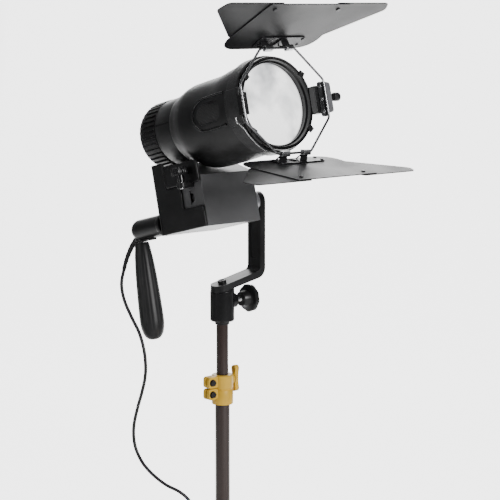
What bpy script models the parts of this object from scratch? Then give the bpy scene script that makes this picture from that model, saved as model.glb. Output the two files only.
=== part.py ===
import math

import bmesh
import bpy
from mathutils import Vector

# Driving dimensions, in metres and degrees.
POLE_Y = 0.0798
GAP = 0.0003
LEAN = 13.9
PIVOT_Z = 0.681
AXIS_U = 0.1083
LEG_SPREAD = 62.0
LEG_LENGTH = 0.330
LEG_PIVOT_R = 0.020
STRUT_LENGTH = 0.140
PLUG_PIVOT_Z = 0.035
LEG_PIVOT_Z = PLUG_PIVOT_Z + 2 * STRUT_LENGTH * math.cos(math.radians(LEG_SPREAD))
LEG_AZIMUTHS = (270.0, 30.0, 150.0)
COLUMN_R = 0.0099
RISER_R = 0.0080
COLUMN_TOP = 0.4317
RISER_BOTTOM = 0.125
BOX_HALF = 0.045
WALL = 0.0015
HANDLE_X = -0.034
ARM_X = 0.061
BAR_T = 0.0086
BAR_SLOPE = 11.5
FRAME_F = 0.1545
HINGE_U = 0.067
LEAF_LIFT = 0.012
TOP_ANGLE = 18.0
BOTTOM_ANGLE = 21.5
BADGE_F = 0.0690
BADGE_DROP = 0.0025

for old in list(bpy.data.objects):
    bpy.data.objects.remove(old, do_unlink=True)

parts = bpy.data.collections.new("follow_spot")
bpy.context.scene.collection.children.link(parts)
cutters = bpy.data.collections.new("cutters")
bpy.context.scene.collection.children.link(cutters)


def material(name, color, metallic, roughness):
    made = bpy.data.materials.new(name)
    made.use_nodes = True
    shader = made.node_tree.nodes["Principled BSDF"]
    shader.inputs["Base Color"].default_value = (*color, 1.0)
    shader.inputs["Metallic"].default_value = metallic
    shader.inputs["Roughness"].default_value = roughness
    return made


BLACK = material("black_paint", (0.012, 0.012, 0.013), 0.0, 0.42)
GREY = material("grey_paint", (0.10, 0.10, 0.11), 0.5, 0.45)
PLASTIC = material("black_plastic", (0.014, 0.014, 0.015), 0.0, 0.5)
RUBBER = material("black_rubber", (0.016, 0.016, 0.016), 0.0, 0.75)
STEEL = material("bright_steel", (0.62, 0.62, 0.63), 1.0, 0.3)
TUBE = material("dark_tube", (0.055, 0.040, 0.036), 0.6, 0.3)
YELLOW = material("mustard_paint", (0.62, 0.45, 0.10), 0.0, 0.45)
ALLOY = material("aluminium", (0.55, 0.56, 0.58), 1.0, 0.4)
GLASS = material("lens_glass", (0.92, 0.95, 0.97), 0.0, 0.05)
BOARD = material("circuit_board", (0.02, 0.16, 0.08), 0.0, 0.5)


def frame(name, parent, location, rotation=(0, 0, 0)):
    made = bpy.data.objects.new(name, None)
    parts.objects.link(made)
    made.parent = parent
    made.location = location
    made.rotation_euler = [math.radians(a) for a in rotation]
    return made


def place(made, parent, location, rotation, slot, cutter):
    home = cutters if cutter else parts
    for group in list(made.users_collection):
        group.objects.unlink(made)
    home.objects.link(made)
    made.parent = parent
    made.location = location
    made.rotation_euler = [math.radians(a) for a in rotation]
    if slot is not None:
        made.data.materials.append(slot)
    if cutter:
        made.hide_render = True
        made.display_type = "WIRE"
    return made


def shade(mesh, angle=35.0):
    mesh.shade_smooth()
    mesh.set_sharp_from_angle(angle=math.radians(angle))


def mesh_object(name, bm):
    bmesh.ops.recalc_face_normals(bm, faces=bm.faces)
    mesh = bpy.data.meshes.new(name)
    bm.to_mesh(mesh)
    bm.free()
    shade(mesh)
    return bpy.data.objects.new(name, mesh)


def block(name, parent, low, high, slot=None, rotation=(0, 0, 0), origin=(0, 0, 0), cutter=False):
    """Box between two corners given from the origin point."""
    bm = bmesh.new()
    bmesh.ops.create_cube(bm, size=1.0)
    for vert in bm.verts:
        vert.co = Vector(
            (low[i] if vert.co[i] < 0 else high[i]) for i in range(3)
        )
    return place(mesh_object(name, bm), parent, origin, rotation, slot, cutter)


def turned(name, parent, outline, slot=None, steps=32, origin=(0, 0, 0), rotation=(0, 0, 0),
           ring=False, cutter=False):
    """Turned piece: outline of (radius, height) from top to bottom down the outer side."""
    mesh = bpy.data.meshes.new(name)
    points = [(r, 0.0, z) for r, z in outline]
    edges = [(i, i + 1) for i in range(len(points) - 1)]
    if ring:
        edges.append((len(points) - 1, 0))
    mesh.from_pydata(points, edges, [])
    made = bpy.data.objects.new(name, mesh)
    place(made, parent, origin, rotation, slot, cutter)
    mod = made.modifiers.new("turn", "SCREW")
    mod.steps = steps
    mod.render_steps = steps
    mod.use_merge_vertices = True
    mod.merge_threshold = 0.00001
    mod.use_smooth_shade = False
    return made


def rod(name, parent, radius, low, high, slot=None, steps=12, origin=(0, 0, 0), rotation=(0, 0, 0),
        cutter=False):
    """Round bar along the local Z axis."""
    return turned(name, parent, [(0, high), (radius, high), (radius, low), (0, low)], slot, steps,
                  origin, rotation, False, cutter)


def plate(name, parent, outline, low, high, slot=None, origin=(0, 0, 0), rotation=(0, 0, 0),
          cutter=False):
    """Flat outline in the local XY plane, filled from height low to high."""
    bm = bmesh.new()
    verts = [bm.verts.new((x, y, low)) for x, y in outline]
    face = bm.faces.new(verts)
    made = bmesh.ops.extrude_face_region(bm, geom=[face])
    lifted = [item for item in made["geom"] if isinstance(item, bmesh.types.BMVert)]
    bmesh.ops.translate(bm, verts=lifted, vec=(0, 0, high - low))
    body = mesh_object(name, bm)
    return place(body, parent, origin, rotation, slot, cutter)


def combine(made, other, operation="DIFFERENCE"):
    mod = made.modifiers.new("cut" if operation == "DIFFERENCE" else "join", "BOOLEAN")
    mod.operation = operation
    mod.solver = "EXACT"
    mod.object = other
    return made


def cut(made, *others):
    for other in others:
        combine(made, other)
    return made


def join(made, *others):
    for other in others:
        combine(made, other, "UNION")
    return made


def arc(cx, cy, radius, start, stop, count):
    return [
        (cx + radius * math.cos(math.radians(start + (stop - start) * i / count)),
         cy + radius * math.sin(math.radians(start + (stop - start) * i / count)))
        for i in range(count + 1)
    ]


def tube_path(name, parent, points, radius, slot, resolution=2, cyclic=False):
    curve = bpy.data.curves.new(name, "CURVE")
    curve.dimensions = "3D"
    curve.bevel_depth = radius
    curve.bevel_resolution = resolution
    curve.use_fill_caps = not cyclic
    line = curve.splines.new("POLY")
    line.points.add(len(points) - 1)
    for point, co in zip(line.points, points):
        point.co = (*co, 1.0)
    line.use_cyclic_u = cyclic
    made = bpy.data.objects.new(name, curve)
    return place(made, parent, (0, 0, 0), (0, 0, 0), slot, False)


stand = frame("stand_frame", None, (0, POLE_Y, 0))

# Column: lower tube, strut hub at its foot and the yellow collar on its top.
turned("column_tube", stand, [(COLUMN_R, COLUMN_TOP), (COLUMN_R, 0.0487), (0.0085, 0.0487),
                              (0.0085, COLUMN_TOP)], TUBE, 24, ring=True)
hub = turned("column_plug", stand, [(0, 0.062), (0.0082, 0.062), (0.0082, 0.0484), (0.0125, 0.0484),
                                    (0.0125, 0.026), (0.010, 0.0235), (0, 0.0235)], PLASTIC, 32)
for index, azimuth in enumerate(LEG_AZIMUTHS, 1):
    lug = block(f"hub_lug_{index}", stand, (0.008, -0.0055, -0.0085), (0.0255, 0.0055, 0.0085),
                origin=(0, 0, PLUG_PIVOT_Z), rotation=(0, 0, azimuth), cutter=True)
    join(hub, lug)

collar = turned("riser_collar", stand, [(0.0145, 0.4518), (0.0145, 0.4335), (0.0137, 0.4325), (0.0145, 0.4315),
                                        (0.0145, 0.4119), (COLUMN_R + GAP, 0.4119),
                                        (COLUMN_R + GAP, 0.4320), (RISER_R + GAP, 0.4320),
                                        (RISER_R + GAP, 0.4518)], YELLOW, 28, ring=True)
join(collar,
     block("collar_ear_upper", stand, (-0.0286, -0.0062, 0.4362), (-0.0112, 0.0062, 0.4515), cutter=True),
     block("collar_ear_lower", stand, (-0.0286, -0.0062, 0.4205), (-0.0125, 0.0062, 0.4352), cutter=True),
     rod("collar_boss", stand, 0.0068, 0.0100, 0.0180, rotation=(0, 90, 0), origin=(0, 0, 0.4435), cutter=True))
cut(collar,
    block("collar_slit", stand, (-0.031, -0.0008, 0.405), (-0.006, 0.0008, 0.456), cutter=True),
    rod("collar_upper_hole", stand, 0.0025, -0.02, 0.02, rotation=(90, 0, 0), origin=(-0.0225, 0, 0.4438),
        cutter=True),
    rod("collar_lower_hole", stand, 0.0025, -0.02, 0.02, rotation=(90, 0, 0), origin=(-0.0225, 0, 0.4279),
        cutter=True),
    rod("collar_knob_hole", stand, 0.0028, 0.004, 0.03, rotation=(0, 90, 0), origin=(0, 0, 0.4435), cutter=True))
BOLT = [(0, 0.0098), (0.0042, 0.0098), (0.0042, 0.0065), (0.0022, 0.0065), (0.0022, -0.0090), (0, -0.0090)]
turned("collar_bolt_upper", stand, BOLT, STEEL, 14, (-0.0225, 0, 0.4438), (90, 0, 0))
turned("collar_bolt_lower", stand, BOLT, STEEL, 14, (-0.0225, 0, 0.4279), (90, 0, 0))

# Wing knob of the riser lock, turning about X.
knob_outline = arc(0, 0.0135, 0.0045, -20, 200, 8) + arc(0, -0.0135, 0.0045, 160, 380, 8)
wing_knob = turned("riser_knob", stand, [(0, 0.0215), (0.0062, 0.0205), (0.0068, 0.0183), (0.0024, 0.0183),
                                         (0.0024, 0.0088), (0, 0.0088)], YELLOW, 16,
                   (0, 0, 0.4435), (0, 90, 0))
join(wing_knob, plate("wing_knob_blade", stand, knob_outline, 0.0190, 0.0265,
                      origin=(0, 0, 0.4435), rotation=(90, 0, 90), cutter=True))

# Sliding leg collar with a pair of ears and a pin for each leg.
ring = turned("leg_collar", stand, [(0.0140, LEG_PIVOT_Z + 0.014), (0.0140, LEG_PIVOT_Z - 0.014),
                                    (COLUMN_R + GAP, LEG_PIVOT_Z - 0.014),
                                    (COLUMN_R + GAP, LEG_PIVOT_Z + 0.014)], PLASTIC, 24, ring=True)
for index, azimuth in enumerate(LEG_AZIMUTHS, 1):
    for side in (-1, 1):
        ear = block(f"collar_ear_{index}_{'a' if side < 0 else 'b'}", stand,
                    (0.0118, min(side * 0.0033, side * 0.0063), -0.007),
                    (0.0260, max(side * 0.0033, side * 0.0063), 0.007),
                    origin=(0, 0, LEG_PIVOT_Z), rotation=(0, 0, azimuth), cutter=True)
        join(ring, ear)
    x = LEG_PIVOT_R * math.cos(math.radians(azimuth))
    y = LEG_PIVOT_R * math.sin(math.radians(azimuth))
    join(ring, rod(f"collar_pin_{index}", stand, 0.0021, -0.0075, 0.0075, steps=12,
                   rotation=(90, 0, azimuth), origin=(x, y, LEG_PIVOT_Z), cutter=True))
join(ring, rod("leg_collar_boss", stand, 0.006, 0.0115, 0.0175, rotation=(0, 90, 330),
               origin=(0, 0, LEG_PIVOT_Z + 0.003), cutter=True))
cut(ring, rod("leg_collar_knob_hole", stand, 0.0027, 0.006, 0.03, rotation=(0, 90, 330),
              origin=(0, 0, LEG_PIVOT_Z + 0.003), cutter=True))
turned("leg_collar_knob", stand, [(0, 0.0300), (0.0075, 0.0300), (0.0095, 0.0285), (0.0095, 0.0195),
                                  (0.0080, 0.0180), (0.0024, 0.0180), (0.0024, 0.0105), (0, 0.0105)], PLASTIC, 16,
       (0, 0, LEG_PIVOT_Z + 0.003), (0, 90, 330))

# Legs, rubber feet and flat struts.
for index, azimuth in enumerate(LEG_AZIMUTHS, 1):
    spread = frame(f"leg_frame_{index}", stand, (0, 0, 0), (0, 0, azimuth))
    knee = frame(f"leg_pivot_{index}", spread, (LEG_PIVOT_R, 0, LEG_PIVOT_Z), (0, -LEG_SPREAD, 0))
    leg = rod(f"leg_{index}", knee, 0.0065, -LEG_LENGTH, -0.014, TUBE, 24)
    tongue = plate(f"leg_tongue_{index}", knee,
                   arc(0, 0, 0.0055, 0, 180, 8) + [(-0.0055, -0.022), (0.0055, -0.022)],
                   -0.0028, 0.0028, rotation=(90, 0, 0), cutter=True)
    join(leg, tongue)
    cut(leg,
        rod(f"leg_top_hole_{index}", knee, 0.0024, -0.01, 0.01, steps=12, rotation=(90, 0, 0), cutter=True),
        rod(f"leg_mid_hole_{index}", knee, 0.0023, -0.01, 0.01, steps=12, rotation=(90, 0, 0),
            origin=(0, 0, -STRUT_LENGTH), cutter=True))
    foot = turned(f"foot_{index}", knee, [(0, -0.3304), (0.0068, -0.3304), (0.0068, -0.302),
                                          (0.0092, -0.302), (0.0102, -0.306), (0.0108, -0.318),
                                          (0.0125, -0.326), (0.0134, -0.335), (0.0125, -0.344),
                                          (0.0095, -0.349), (0, -0.351)], RUBBER, 18)
    cut(foot, block(f"floor_cut_{index}", spread, (0.26, -0.03, -0.04), (0.36, 0.03, 0.0), cutter=True))
    hinge = frame(f"strut_pivot_{index}", knee, (0, 0, -STRUT_LENGTH), (0, 2 * LEG_SPREAD, 0))
    strut = plate(f"strut_{index}", hinge,
                  arc(0, 0, 0.0055, 0, 180, 8) + arc(0, -STRUT_LENGTH, 0.0055, 180, 360, 8),
                  0.0070, 0.0094, STEEL, rotation=(90, 0, 0))
    join(strut, rod(f"strut_pin_{index}", hinge, 0.0020, -0.0078, 0.0080, steps=12, rotation=(90, 0, 0),
                    cutter=True))

# Riser and the one-armed yoke.
turned("riser_tube", stand, [(RISER_R, 0.5592), (RISER_R, RISER_BOTTOM), (0.0068, RISER_BOTTOM),
                             (0.0068, 0.5592)], TUBE, 24, ring=True)
slope = math.tan(math.radians(BAR_SLOPE))
normal = BAR_T / math.cos(math.radians(BAR_SLOPE))
top = 0.620 - 0.0440
socket = turned("yoke_socket", stand, [(0, 0.590), (0.0162, 0.590), (0.0162, 0.5258), (0.0152, 0.5248),
                                       (0.0098, 0.5248), (0.0098, 0.5203), (RISER_R + GAP, 0.5203),
                                       (RISER_R + GAP, 0.5600), (0, 0.5600)], BLACK, 28)
join(socket, rod("clamp_boss", stand, 0.0100, 0.0100, 0.0222, origin=(0, 0, 0.5503), rotation=(0, 90, 0),
                 steps=20, cutter=True))
cut(socket,
    rod("clamp_hole", stand, 0.0034, 0.0040, 0.0300, origin=(0, 0, 0.5503), rotation=(0, 90, 0), cutter=True),
    block("socket_seat", stand, (-0.04, -0.03, 0.0), (0.04, 0.03, 0.05), rotation=(0, -BAR_SLOPE, 0),
          origin=(0, 0, top - normal - GAP), cutter=True),
    rod("yoke_bolt_hole", stand, 0.0034, -0.0300, 0.02, rotation=(0, -BAR_SLOPE, 0),
        origin=(0, 0, top), cutter=True))
turned("clamp_screw", stand, [(0, 0.0400), (0.0031, 0.0400), (0.0031, 0.0088), (0, 0.0088)], STEEL, 20,
       (0, 0, 0.5503), (0, 90, 0))
lobes = []
for step in range(36):
    angle = 360.0 * step / 36
    radius = 0.0182 + 0.0008 * math.cos(math.radians(9 * angle))
    lobes.append((radius * math.cos(math.radians(angle)), radius * math.sin(math.radians(angle))))
clamp_knob = turned("clamp_knob", stand, [(0, 0.0510), (0.0150, 0.0515), (0.0150, 0.0440), (0.0110, 0.0420),
                                          (0.0095, 0.0320), (0.0034, 0.0320), (0.0034, 0.0410),
                                          (0, 0.0410)], PLASTIC, 16, (0, 0, 0.5503), (0, 90, 0))
join(clamp_knob, plate("clamp_knob_rim", stand, lobes, 0.0440, 0.0520, origin=(0, 0, 0.5503),
                       rotation=(0, 90, 0), cutter=True))

outer_x = ARM_X + BAR_T / 2
inner_x = ARM_X - BAR_T / 2
arm_top = PIVOT_Z + 0.013
bend = arc(inner_x - 0.0070, top + slope * 0.0497 + 0.0080, 0.0070, -78.5, 0, 5)
outer_bend = arc(outer_x - 0.0140, top + slope * 0.0513 - normal + 0.0143, 0.0140, 0, -78.5, 6)
profile = [(-0.0160, top - slope * 0.0160)] + bend + [(inner_x, arm_top), (outer_x, arm_top)]
profile += outer_bend + [(-0.0160, top - slope * 0.0160 - normal)]
bar = plate("yoke_bar", stand, profile, -0.013, 0.013, BLACK, rotation=(90, 0, 0))
keep = plate("bar_keep", stand,
             [(0.070, -0.013), (0.070, 0.013)] + arc(-0.0005, 0, 0.0152, 59, 301, 16),
             0.55, 0.70, cutter=True)
combine(bar, keep, "INTERSECT")
eye = plate("arm_keep", stand,
            [(0.013, -0.15), (0.013, 0)] + arc(0, 0, 0.013, 0, 180, 16)[1:-1] + [(-0.013, 0), (-0.013, -0.15)],
            -0.03, 0.09, origin=(0, 0, PIVOT_Z), rotation=(90, 0, 90), cutter=True)
combine(bar, eye, "INTERSECT")
cut(bar,
    rod("tilt_hole", stand, 0.0043, 0.050, 0.070, origin=(0, 0, PIVOT_Z), rotation=(0, 90, 0), cutter=True),
    rod("bar_bolt_hole", stand, 0.0034, -0.0300, 0.02, rotation=(0, -BAR_SLOPE, 0),
        origin=(0, 0, top), cutter=True))
turned("yoke_bolt", stand, [(0, 0.0040), (0.0052, 0.0040), (0.0058, 0.0034), (0.0058, GAP), (0.0031, GAP),
                            (0.0031, -0.0145), (0, -0.0145)], STEEL, 14, (0, 0, top), (0, -BAR_SLOPE, 0))

# Head: everything below hangs on the tilt pivot. Local -Y points out of the lens.
head = frame("head_frame", stand, (0, 0, PIVOT_Z), (-LEAN, 0, 0))


def side_plate(name, parent, outline, x_low, x_high, slot=None, cutter=False):
    """Flat piece given by (forward, up) points and filled from x_low to x_high."""
    return plate(name, parent, [(-f, u) for f, u in outline], x_low, x_high, slot,
                 rotation=(90, 0, 90), cutter=cutter)


turned("tilt_bolt", head, [(0, 0.0644), (0.0040, 0.0644), (0.0040, 0.0432), (0.0078, 0.0432), (0.0078, 0.0390),
                           (0, 0.0390)], STEEL, 14, (0, 0, 0), (0, 90, 0))
turned("tilt_washer", head, [(0.0125, 0.0564), (0.0140, 0.0550), (0.0140, 0.0453), (0.0043, 0.0453),
                             (0.0043, 0.0564)], STEEL, 14, (0, 0, 0), (0, 90, 0), ring=True)

box_line = [(-0.0762, -0.0277), (0.0198, -0.0277), (0.0198, 0.0397), (-0.0197, 0.0588), (-0.0762, 0.0588)]
inner_line = [(-0.0800, -0.0262), (0.0183, -0.0262), (0.0183, 0.0387), (-0.0200, 0.0573), (-0.0800, 0.0573)]
box = side_plate("box_shell", head, box_line, -BOX_HALF, BOX_HALF, GREY)
cut(box,
    side_plate("box_inside", head, inner_line, -BOX_HALF + WALL, BOX_HALF - WALL, cutter=True),
    side_plate("wheel_window", head,
               [(-0.0082, 0.0038), (-0.0057, 0.0038), (-0.0057, 0.0072)]
               + arc(-0.0052, 0.0128, 0.0060, -90, 90, 10) + [(-0.0057, 0.0184), (-0.0057, 0.0228),
                                                              (-0.0082, 0.0228)],
               -0.060, -0.040, cutter=True),
    rod("box_pivot_hole", head, 0.0043, 0.040, 0.050, rotation=(0, 90, 0), cutter=True),
    rod("cable_hole", head, 0.0080, 0.050, 0.066, origin=(0.005, 0.045, 0), cutter=True))
side_plate("box_cover", head, [(-0.0759, -0.0259), (-0.0744, -0.0259), (-0.0744, 0.0570), (-0.0759, 0.0570)],
           -0.0432, 0.0432, GREY)
driver = block("driver_board", head, (-0.041, -0.012, -0.0215), (0.038, 0.066, -0.0195), BOARD)
join(driver,
     block("wheel_post", head, (-0.041, -0.0045, -0.0200), (-0.029, 0.0125, 0.0050), cutter=True),
     block("coil_block", head, (-0.015, 0.010, -0.0200), (0.010, 0.030, -0.0060), cutter=True),
     rod("capacitor", head, 0.0070, -0.0200, -0.0020, origin=(0.024, 0.045, 0), cutter=True))
turned("dimmer_wheel", head, [(0, 0.0170), (0.0075, 0.0170), (0.0082, 0.0163), (0.0082, 0.0095), (0.0075, 0.0088),
                              (0.0028, 0.0088), (0.0028, 0.0053), (0, 0.0053)], PLASTIC, 16,
       (-0.0350, 0.0035, 0), (0, 0, 0))

# Moulded side cover, a C open to the front, which wraps the rear corner.
side_line = [(-0.0762, -0.0277), (0.0165, -0.0277), (0.0195, -0.0247), (0.0195, -0.0024), (0.0165, 0.0007),
             (-0.0187, 0.0007), (-0.0217, 0.0037), (-0.0217, 0.0315), (-0.0515, 0.0315), (-0.0515, 0.0675),
             (-0.0762, 0.0675)]
cover = side_plate("side_moulding", head, side_line, -0.0488, -BOX_HALF - GAP, PLASTIC)
join(cover, side_plate("moulding_return", head,
                       [(-0.0795, -0.0277), (-0.0766, -0.0277), (-0.0766, 0.0595), (-0.0795, 0.0595)],
                       -0.0488, -0.0120, cutter=True),
     side_plate("moulding_corner", head,
                [(-0.0795, -0.0277), (-0.0755, -0.0277), (-0.0755, 0.0675), (-0.0795, 0.0675)],
                -0.0488, -BOX_HALF - GAP, cutter=True))

# Saddle that carries the barrel, with its thumb screw in front of it.
saddle_line = [(-0.0512, 0.0607), (-0.0512, 0.0318), (0.0165, 0.0318), (0.0195, 0.0348), (0.0195, 0.0577),
               (0.0165, 0.0607)]
saddle = side_plate("saddle_clamp", head, saddle_line, -0.0493, -BOX_HALF - GAP, BLACK)
join(saddle,
     side_plate("saddle_shelf", head, [(-0.0500, 0.0591), (-0.0230, 0.0591), (-0.0230, 0.0606), (-0.0500, 0.0606)],
                -0.0470, 0.0440, cutter=True),
     block("screw_lug", head, (-0.0700, -0.0080, 0.0262), (-0.0460, 0.0115, 0.0335), cutter=True),
     block("screw_lug_root", head, (-0.0493, -0.0080, 0.0262), (-0.0453, 0.0115, 0.0370), cutter=True))
cut(saddle, rod("saddle_hole", head, 0.0033, 0.020, 0.045, origin=(-0.0610, 0.0019, 0), cutter=True))
turned("saddle_screw", head, [(0, 0.0538), (0.0095, 0.0534), (0.0112, 0.0518), (0.0112, 0.0448), (0.0100, 0.0433),
                              (0.0048, 0.0433), (0.0048, 0.0338), (0.0030, 0.0338), (0.0030, 0.0250),
                              (0, 0.0250)], BLACK, 20, (-0.0610, 0.0019, 0))

# Handle: arm straight back from the box, grip hanging from its end.
arm = turned("handle_arm", head, [(0, 0.0798), (0.0150, 0.0798), (0.0158, 0.0850), (0.0145, 0.0890),
                                  (0.0145, 0.1362), (0.0134, 0.1418), (0.0103, 0.1465),
                                  (0.0055, 0.1498), (0, 0.1507)], PLASTIC, 16, (HANDLE_X, 0, -0.0117), (-90, 0, 0))
join(arm,
     rod("handle_neck", head, 0.0095, -0.0278, -0.0100, origin=(HANDLE_X, 0.1390, 0), cutter=True),
     block("handle_tab", head, (-0.004, 0.1110, -0.0285), (0.004, 0.1210, -0.0200), origin=(HANDLE_X, 0, 0),
           cutter=True))
turned("handle_grip", head, [(0, 0), (0.0088, 0), (0.0100, -0.0040), (0.0120, -0.0170), (0.0142, -0.0420),
                             (0.0158, -0.0750), (0.0166, -0.1020), (0.0164, -0.1130), (0.0140, -0.1250),
                             (0.0085, -0.1325), (0, -0.1345)], RUBBER, 22, (HANDLE_X, 0.1407, -0.0282), (2.6, 0, 0))
turned("lead_gland", head, [(0, 0.0065), (0.0029, 0.0065), (0.0034, 0.0035), (0.0038, 0), (0, 0)],
       RUBBER, 12, (HANDLE_X, 0.1512, -0.0225), (-122, 0, 0))

# Optical barrel: turned pieces about the lens axis. Local heights run forward.
optic = frame("optic_frame", head, (0, 0, AXIS_U), (90, 0, 0))


def shell(name, parent, rows, slot, steps):
    """Closed ring of (radius, height, drop) rows; each ring's centre sits lower than the axis by its drop."""
    bm = bmesh.new()
    rings = []
    for radius, height, drop in rows:
        rings.append([
            bm.verts.new((radius * math.cos(2 * math.pi * step / steps),
                          radius * math.sin(2 * math.pi * step / steps) - drop, height))
            for step in range(steps)
        ])
    for first, second in zip(rings, rings[1:] + rings[:1]):
        for step in range(steps):
            after = (step + 1) % steps
            bm.faces.new((first[step], second[step], second[after]))
            bm.faces.new((first[step], second[after], first[after]))
    return place(mesh_object(name, bm), parent, (0, 0, 0), (0, 0, 0), slot, False)


# The housing bellies downwards behind its straight front collar.
HOUSING = [
    (0.0606, 0.1318, 0), (0.0620, 0.1318, 0), (0.0624, 0.1300, 0), (0.0624, 0.1106, 0), (0.0596, 0.1096, 0),
    (0.0594, 0.0950, 0.0002), (0.0588, 0.0800, 0.0014), (0.0581, 0.0660, 0.0028), (0.0578, 0.0520, 0.0035),
    (0.0578, 0.0250, 0.0035), (0.0572, 0.0070, 0.0030), (0.0555, 0.0000, 0.0022), (0.0540, -0.0050, 0.0014),
    (0.0518, -0.0102, 0.0008), (0.0485, -0.0202, 0), (0.0470, -0.0259, 0), (0.0446, -0.0259, 0),
    (0.0446, -0.0195, 0), (0.0480, -0.0120, 0.0005), (0.0515, -0.0030, 0.0015), (0.0540, 0.0080, 0.0030),
    (0.0546, 0.0250, 0.0035), (0.0546, 0.0520, 0.0035), (0.0546, 0.0660, 0.0028), (0.0548, 0.0800, 0.0014),
    (0.0550, 0.0950, 0.0002), (0.0550, 0.1112, 0), (0.0606, 0.1112, 0),
]
housing = shell("front_housing", optic, HOUSING, BLACK, 40)
badge_line = arc(-0.0120, 0.0030, 0.0130, 90, 270, 8) + arc(0.0120, 0.0030, 0.0130, -90, 90, 8)
pocket_line = arc(-0.0120, 0.0030, 0.0133, 90, 270, 8) + arc(0.0120, 0.0030, 0.0133, -90, 90, 8)
pocket = turned("badge_pocket", optic, [(0.0640, 0.1060), (0.0640, 0.0300), (0.0568, 0.0300), (0.0568, 0.1060)],
                None, 56, (0, -BADGE_DROP, 0), ring=True, cutter=True)
pocket_keep = plate("pocket_keep", head, pocket_line, -0.0800, -0.0300, origin=(0, -BADGE_F, AXIS_U),
                    rotation=(90, 0, 90), cutter=True)
combine(pocket, pocket_keep, "INTERSECT")
cut(housing, pocket)
badge = turned("badge_insert", optic, [(0.0578, 0.1060), (0.0578, 0.0300), (0.0571, 0.0300), (0.0571, 0.1060)],
               PLASTIC, 56, (0, -BADGE_DROP, 0), ring=True)
badge_keep = plate("badge_keep", head, badge_line, -0.0800, -0.0300, origin=(0, -BADGE_F, AXIS_U),
                   rotation=(90, 0, 90), cutter=True)
combine(badge, badge_keep, "INTERSECT")
turned("rear_barrel", optic, [(0.0428, -0.0180), (0.0442, -0.0180), (0.0442, -0.0262), (0.0456, -0.0262),
                              (0.0456, -0.0599), (0.0440, -0.0599), (0.0428, -0.0580)], BLACK, 36, ring=True)
turned("focus_ring", optic, [(0.0430, -0.0610), (0.0452, -0.0602), (0.0462, -0.0625), (0.0462, -0.0890),
                             (0.0450, -0.0915), (0.0430, -0.0915)], BLACK, 36, ring=True)
turned("rear_grille", optic, [(0, -0.0880), (0.0410, -0.0880), (0.0410, -0.0918), (0.0442, -0.0918),
                              (0.0444, -0.0940), (0.0420, -0.0972), (0, -0.0972)], BLACK, 36)
sink = turned("heat_sink", optic, [(0, -0.0480), (0.0400, -0.0480), (0.0400, -0.0530), (0.0120, -0.0530),
                                   (0.0120, -0.0740), (0, -0.0740)], ALLOY, 24)
for index in range(6):
    join(sink, block(f"sink_fin_{index + 1}", optic, (0.0100, -0.0012, -0.0740), (0.0390, 0.0012, -0.0520),
                     rotation=(0, 0, 60 * index), cutter=True))
turned("led_module", optic, [(0, -0.0415), (0.0055, -0.0425), (0.0090, -0.0450), (0.0100, -0.0460),
                             (0.0200, -0.0460), (0.0200, -0.0477), (0, -0.0477)], ALLOY, 20)

# Bezel, lens and lens ring turn with the barn-door frame.
turned("bezel_ring", optic, [(0.0585, 0.1398), (0.0602, 0.1385), (0.0602, 0.1115), (0.0572, 0.1115),
                             (0.0572, 0.1182), (0.0552, 0.1182), (0.0552, 0.1311), (0.0531, 0.1311),
                             (0.0531, 0.1330), (0.0552, 0.1350), (0.0560, 0.1398)], BLACK, 44, ring=True)
turned("lens", optic, [(0, 0.1298), (0.0200, 0.1292), (0.0380, 0.1274), (0.0500, 0.1252), (0.0549, 0.1240),
                       (0.0549, 0.1213), (0, 0.1213)], GLASS, 40)
turned("lens_retainer", optic, [(0.0549, 0.1210), (0.0549, 0.1185), (0.0515, 0.1185), (0.0515, 0.1210)],
       STEEL, 36, ring=True)

doors = frame("door_frame_axis", head, (0, 0, AXIS_U))
corners = [(0.0285, 0.0670), (0.0706, 0.0245), (0.0706, -0.0245), (0.0285, -0.0670),
           (-0.0285, -0.0670), (-0.0706, -0.0245), (-0.0706, 0.0245), (-0.0285, 0.0670)]
tube_path("door_frame", doors, [(x, -FRAME_F, u) for x, u in corners], 0.0015, STEEL, 2, True)
latch = block("frame_latch", doors, (0.0560, -0.1500, -0.0180), (0.0700, -0.1401, 0.0180), BLACK)
join(latch,
     block("latch_strip", doors, (0.0620, -0.1525, -0.0225), (0.0725, -0.1495, 0.0225), cutter=True),
     block("latch_plate", doors, (0.0690, -0.1500, -0.0190), (0.0860, -0.1478, 0.0240), cutter=True))
turned("latch_knob", doors, [(0, 0.0980), (0.0048, 0.0980), (0.0056, 0.0972), (0.0056, 0.0890), (0.0035, 0.0880),
                             (0.0035, 0.0864), (0, 0.0864)], STEEL, 14, (0, -0.1489, 0.0025), (0, 90, 0))
clip = block("frame_clip", doors, (-0.0690, -0.1530, -0.0140), (-0.0560, -0.1401, 0.0140), BLACK)
join(clip, block("clip_hook", doors, (-0.0750, -0.1522, 0.0100), (-0.0600, -0.1480, 0.0140), cutter=True))
cut(clip, rod("clip_groove", doors, 0.0019, -0.0250, 0.0250, steps=12, origin=(-0.0706, -FRAME_F, 0),
              cutter=True))

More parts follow.
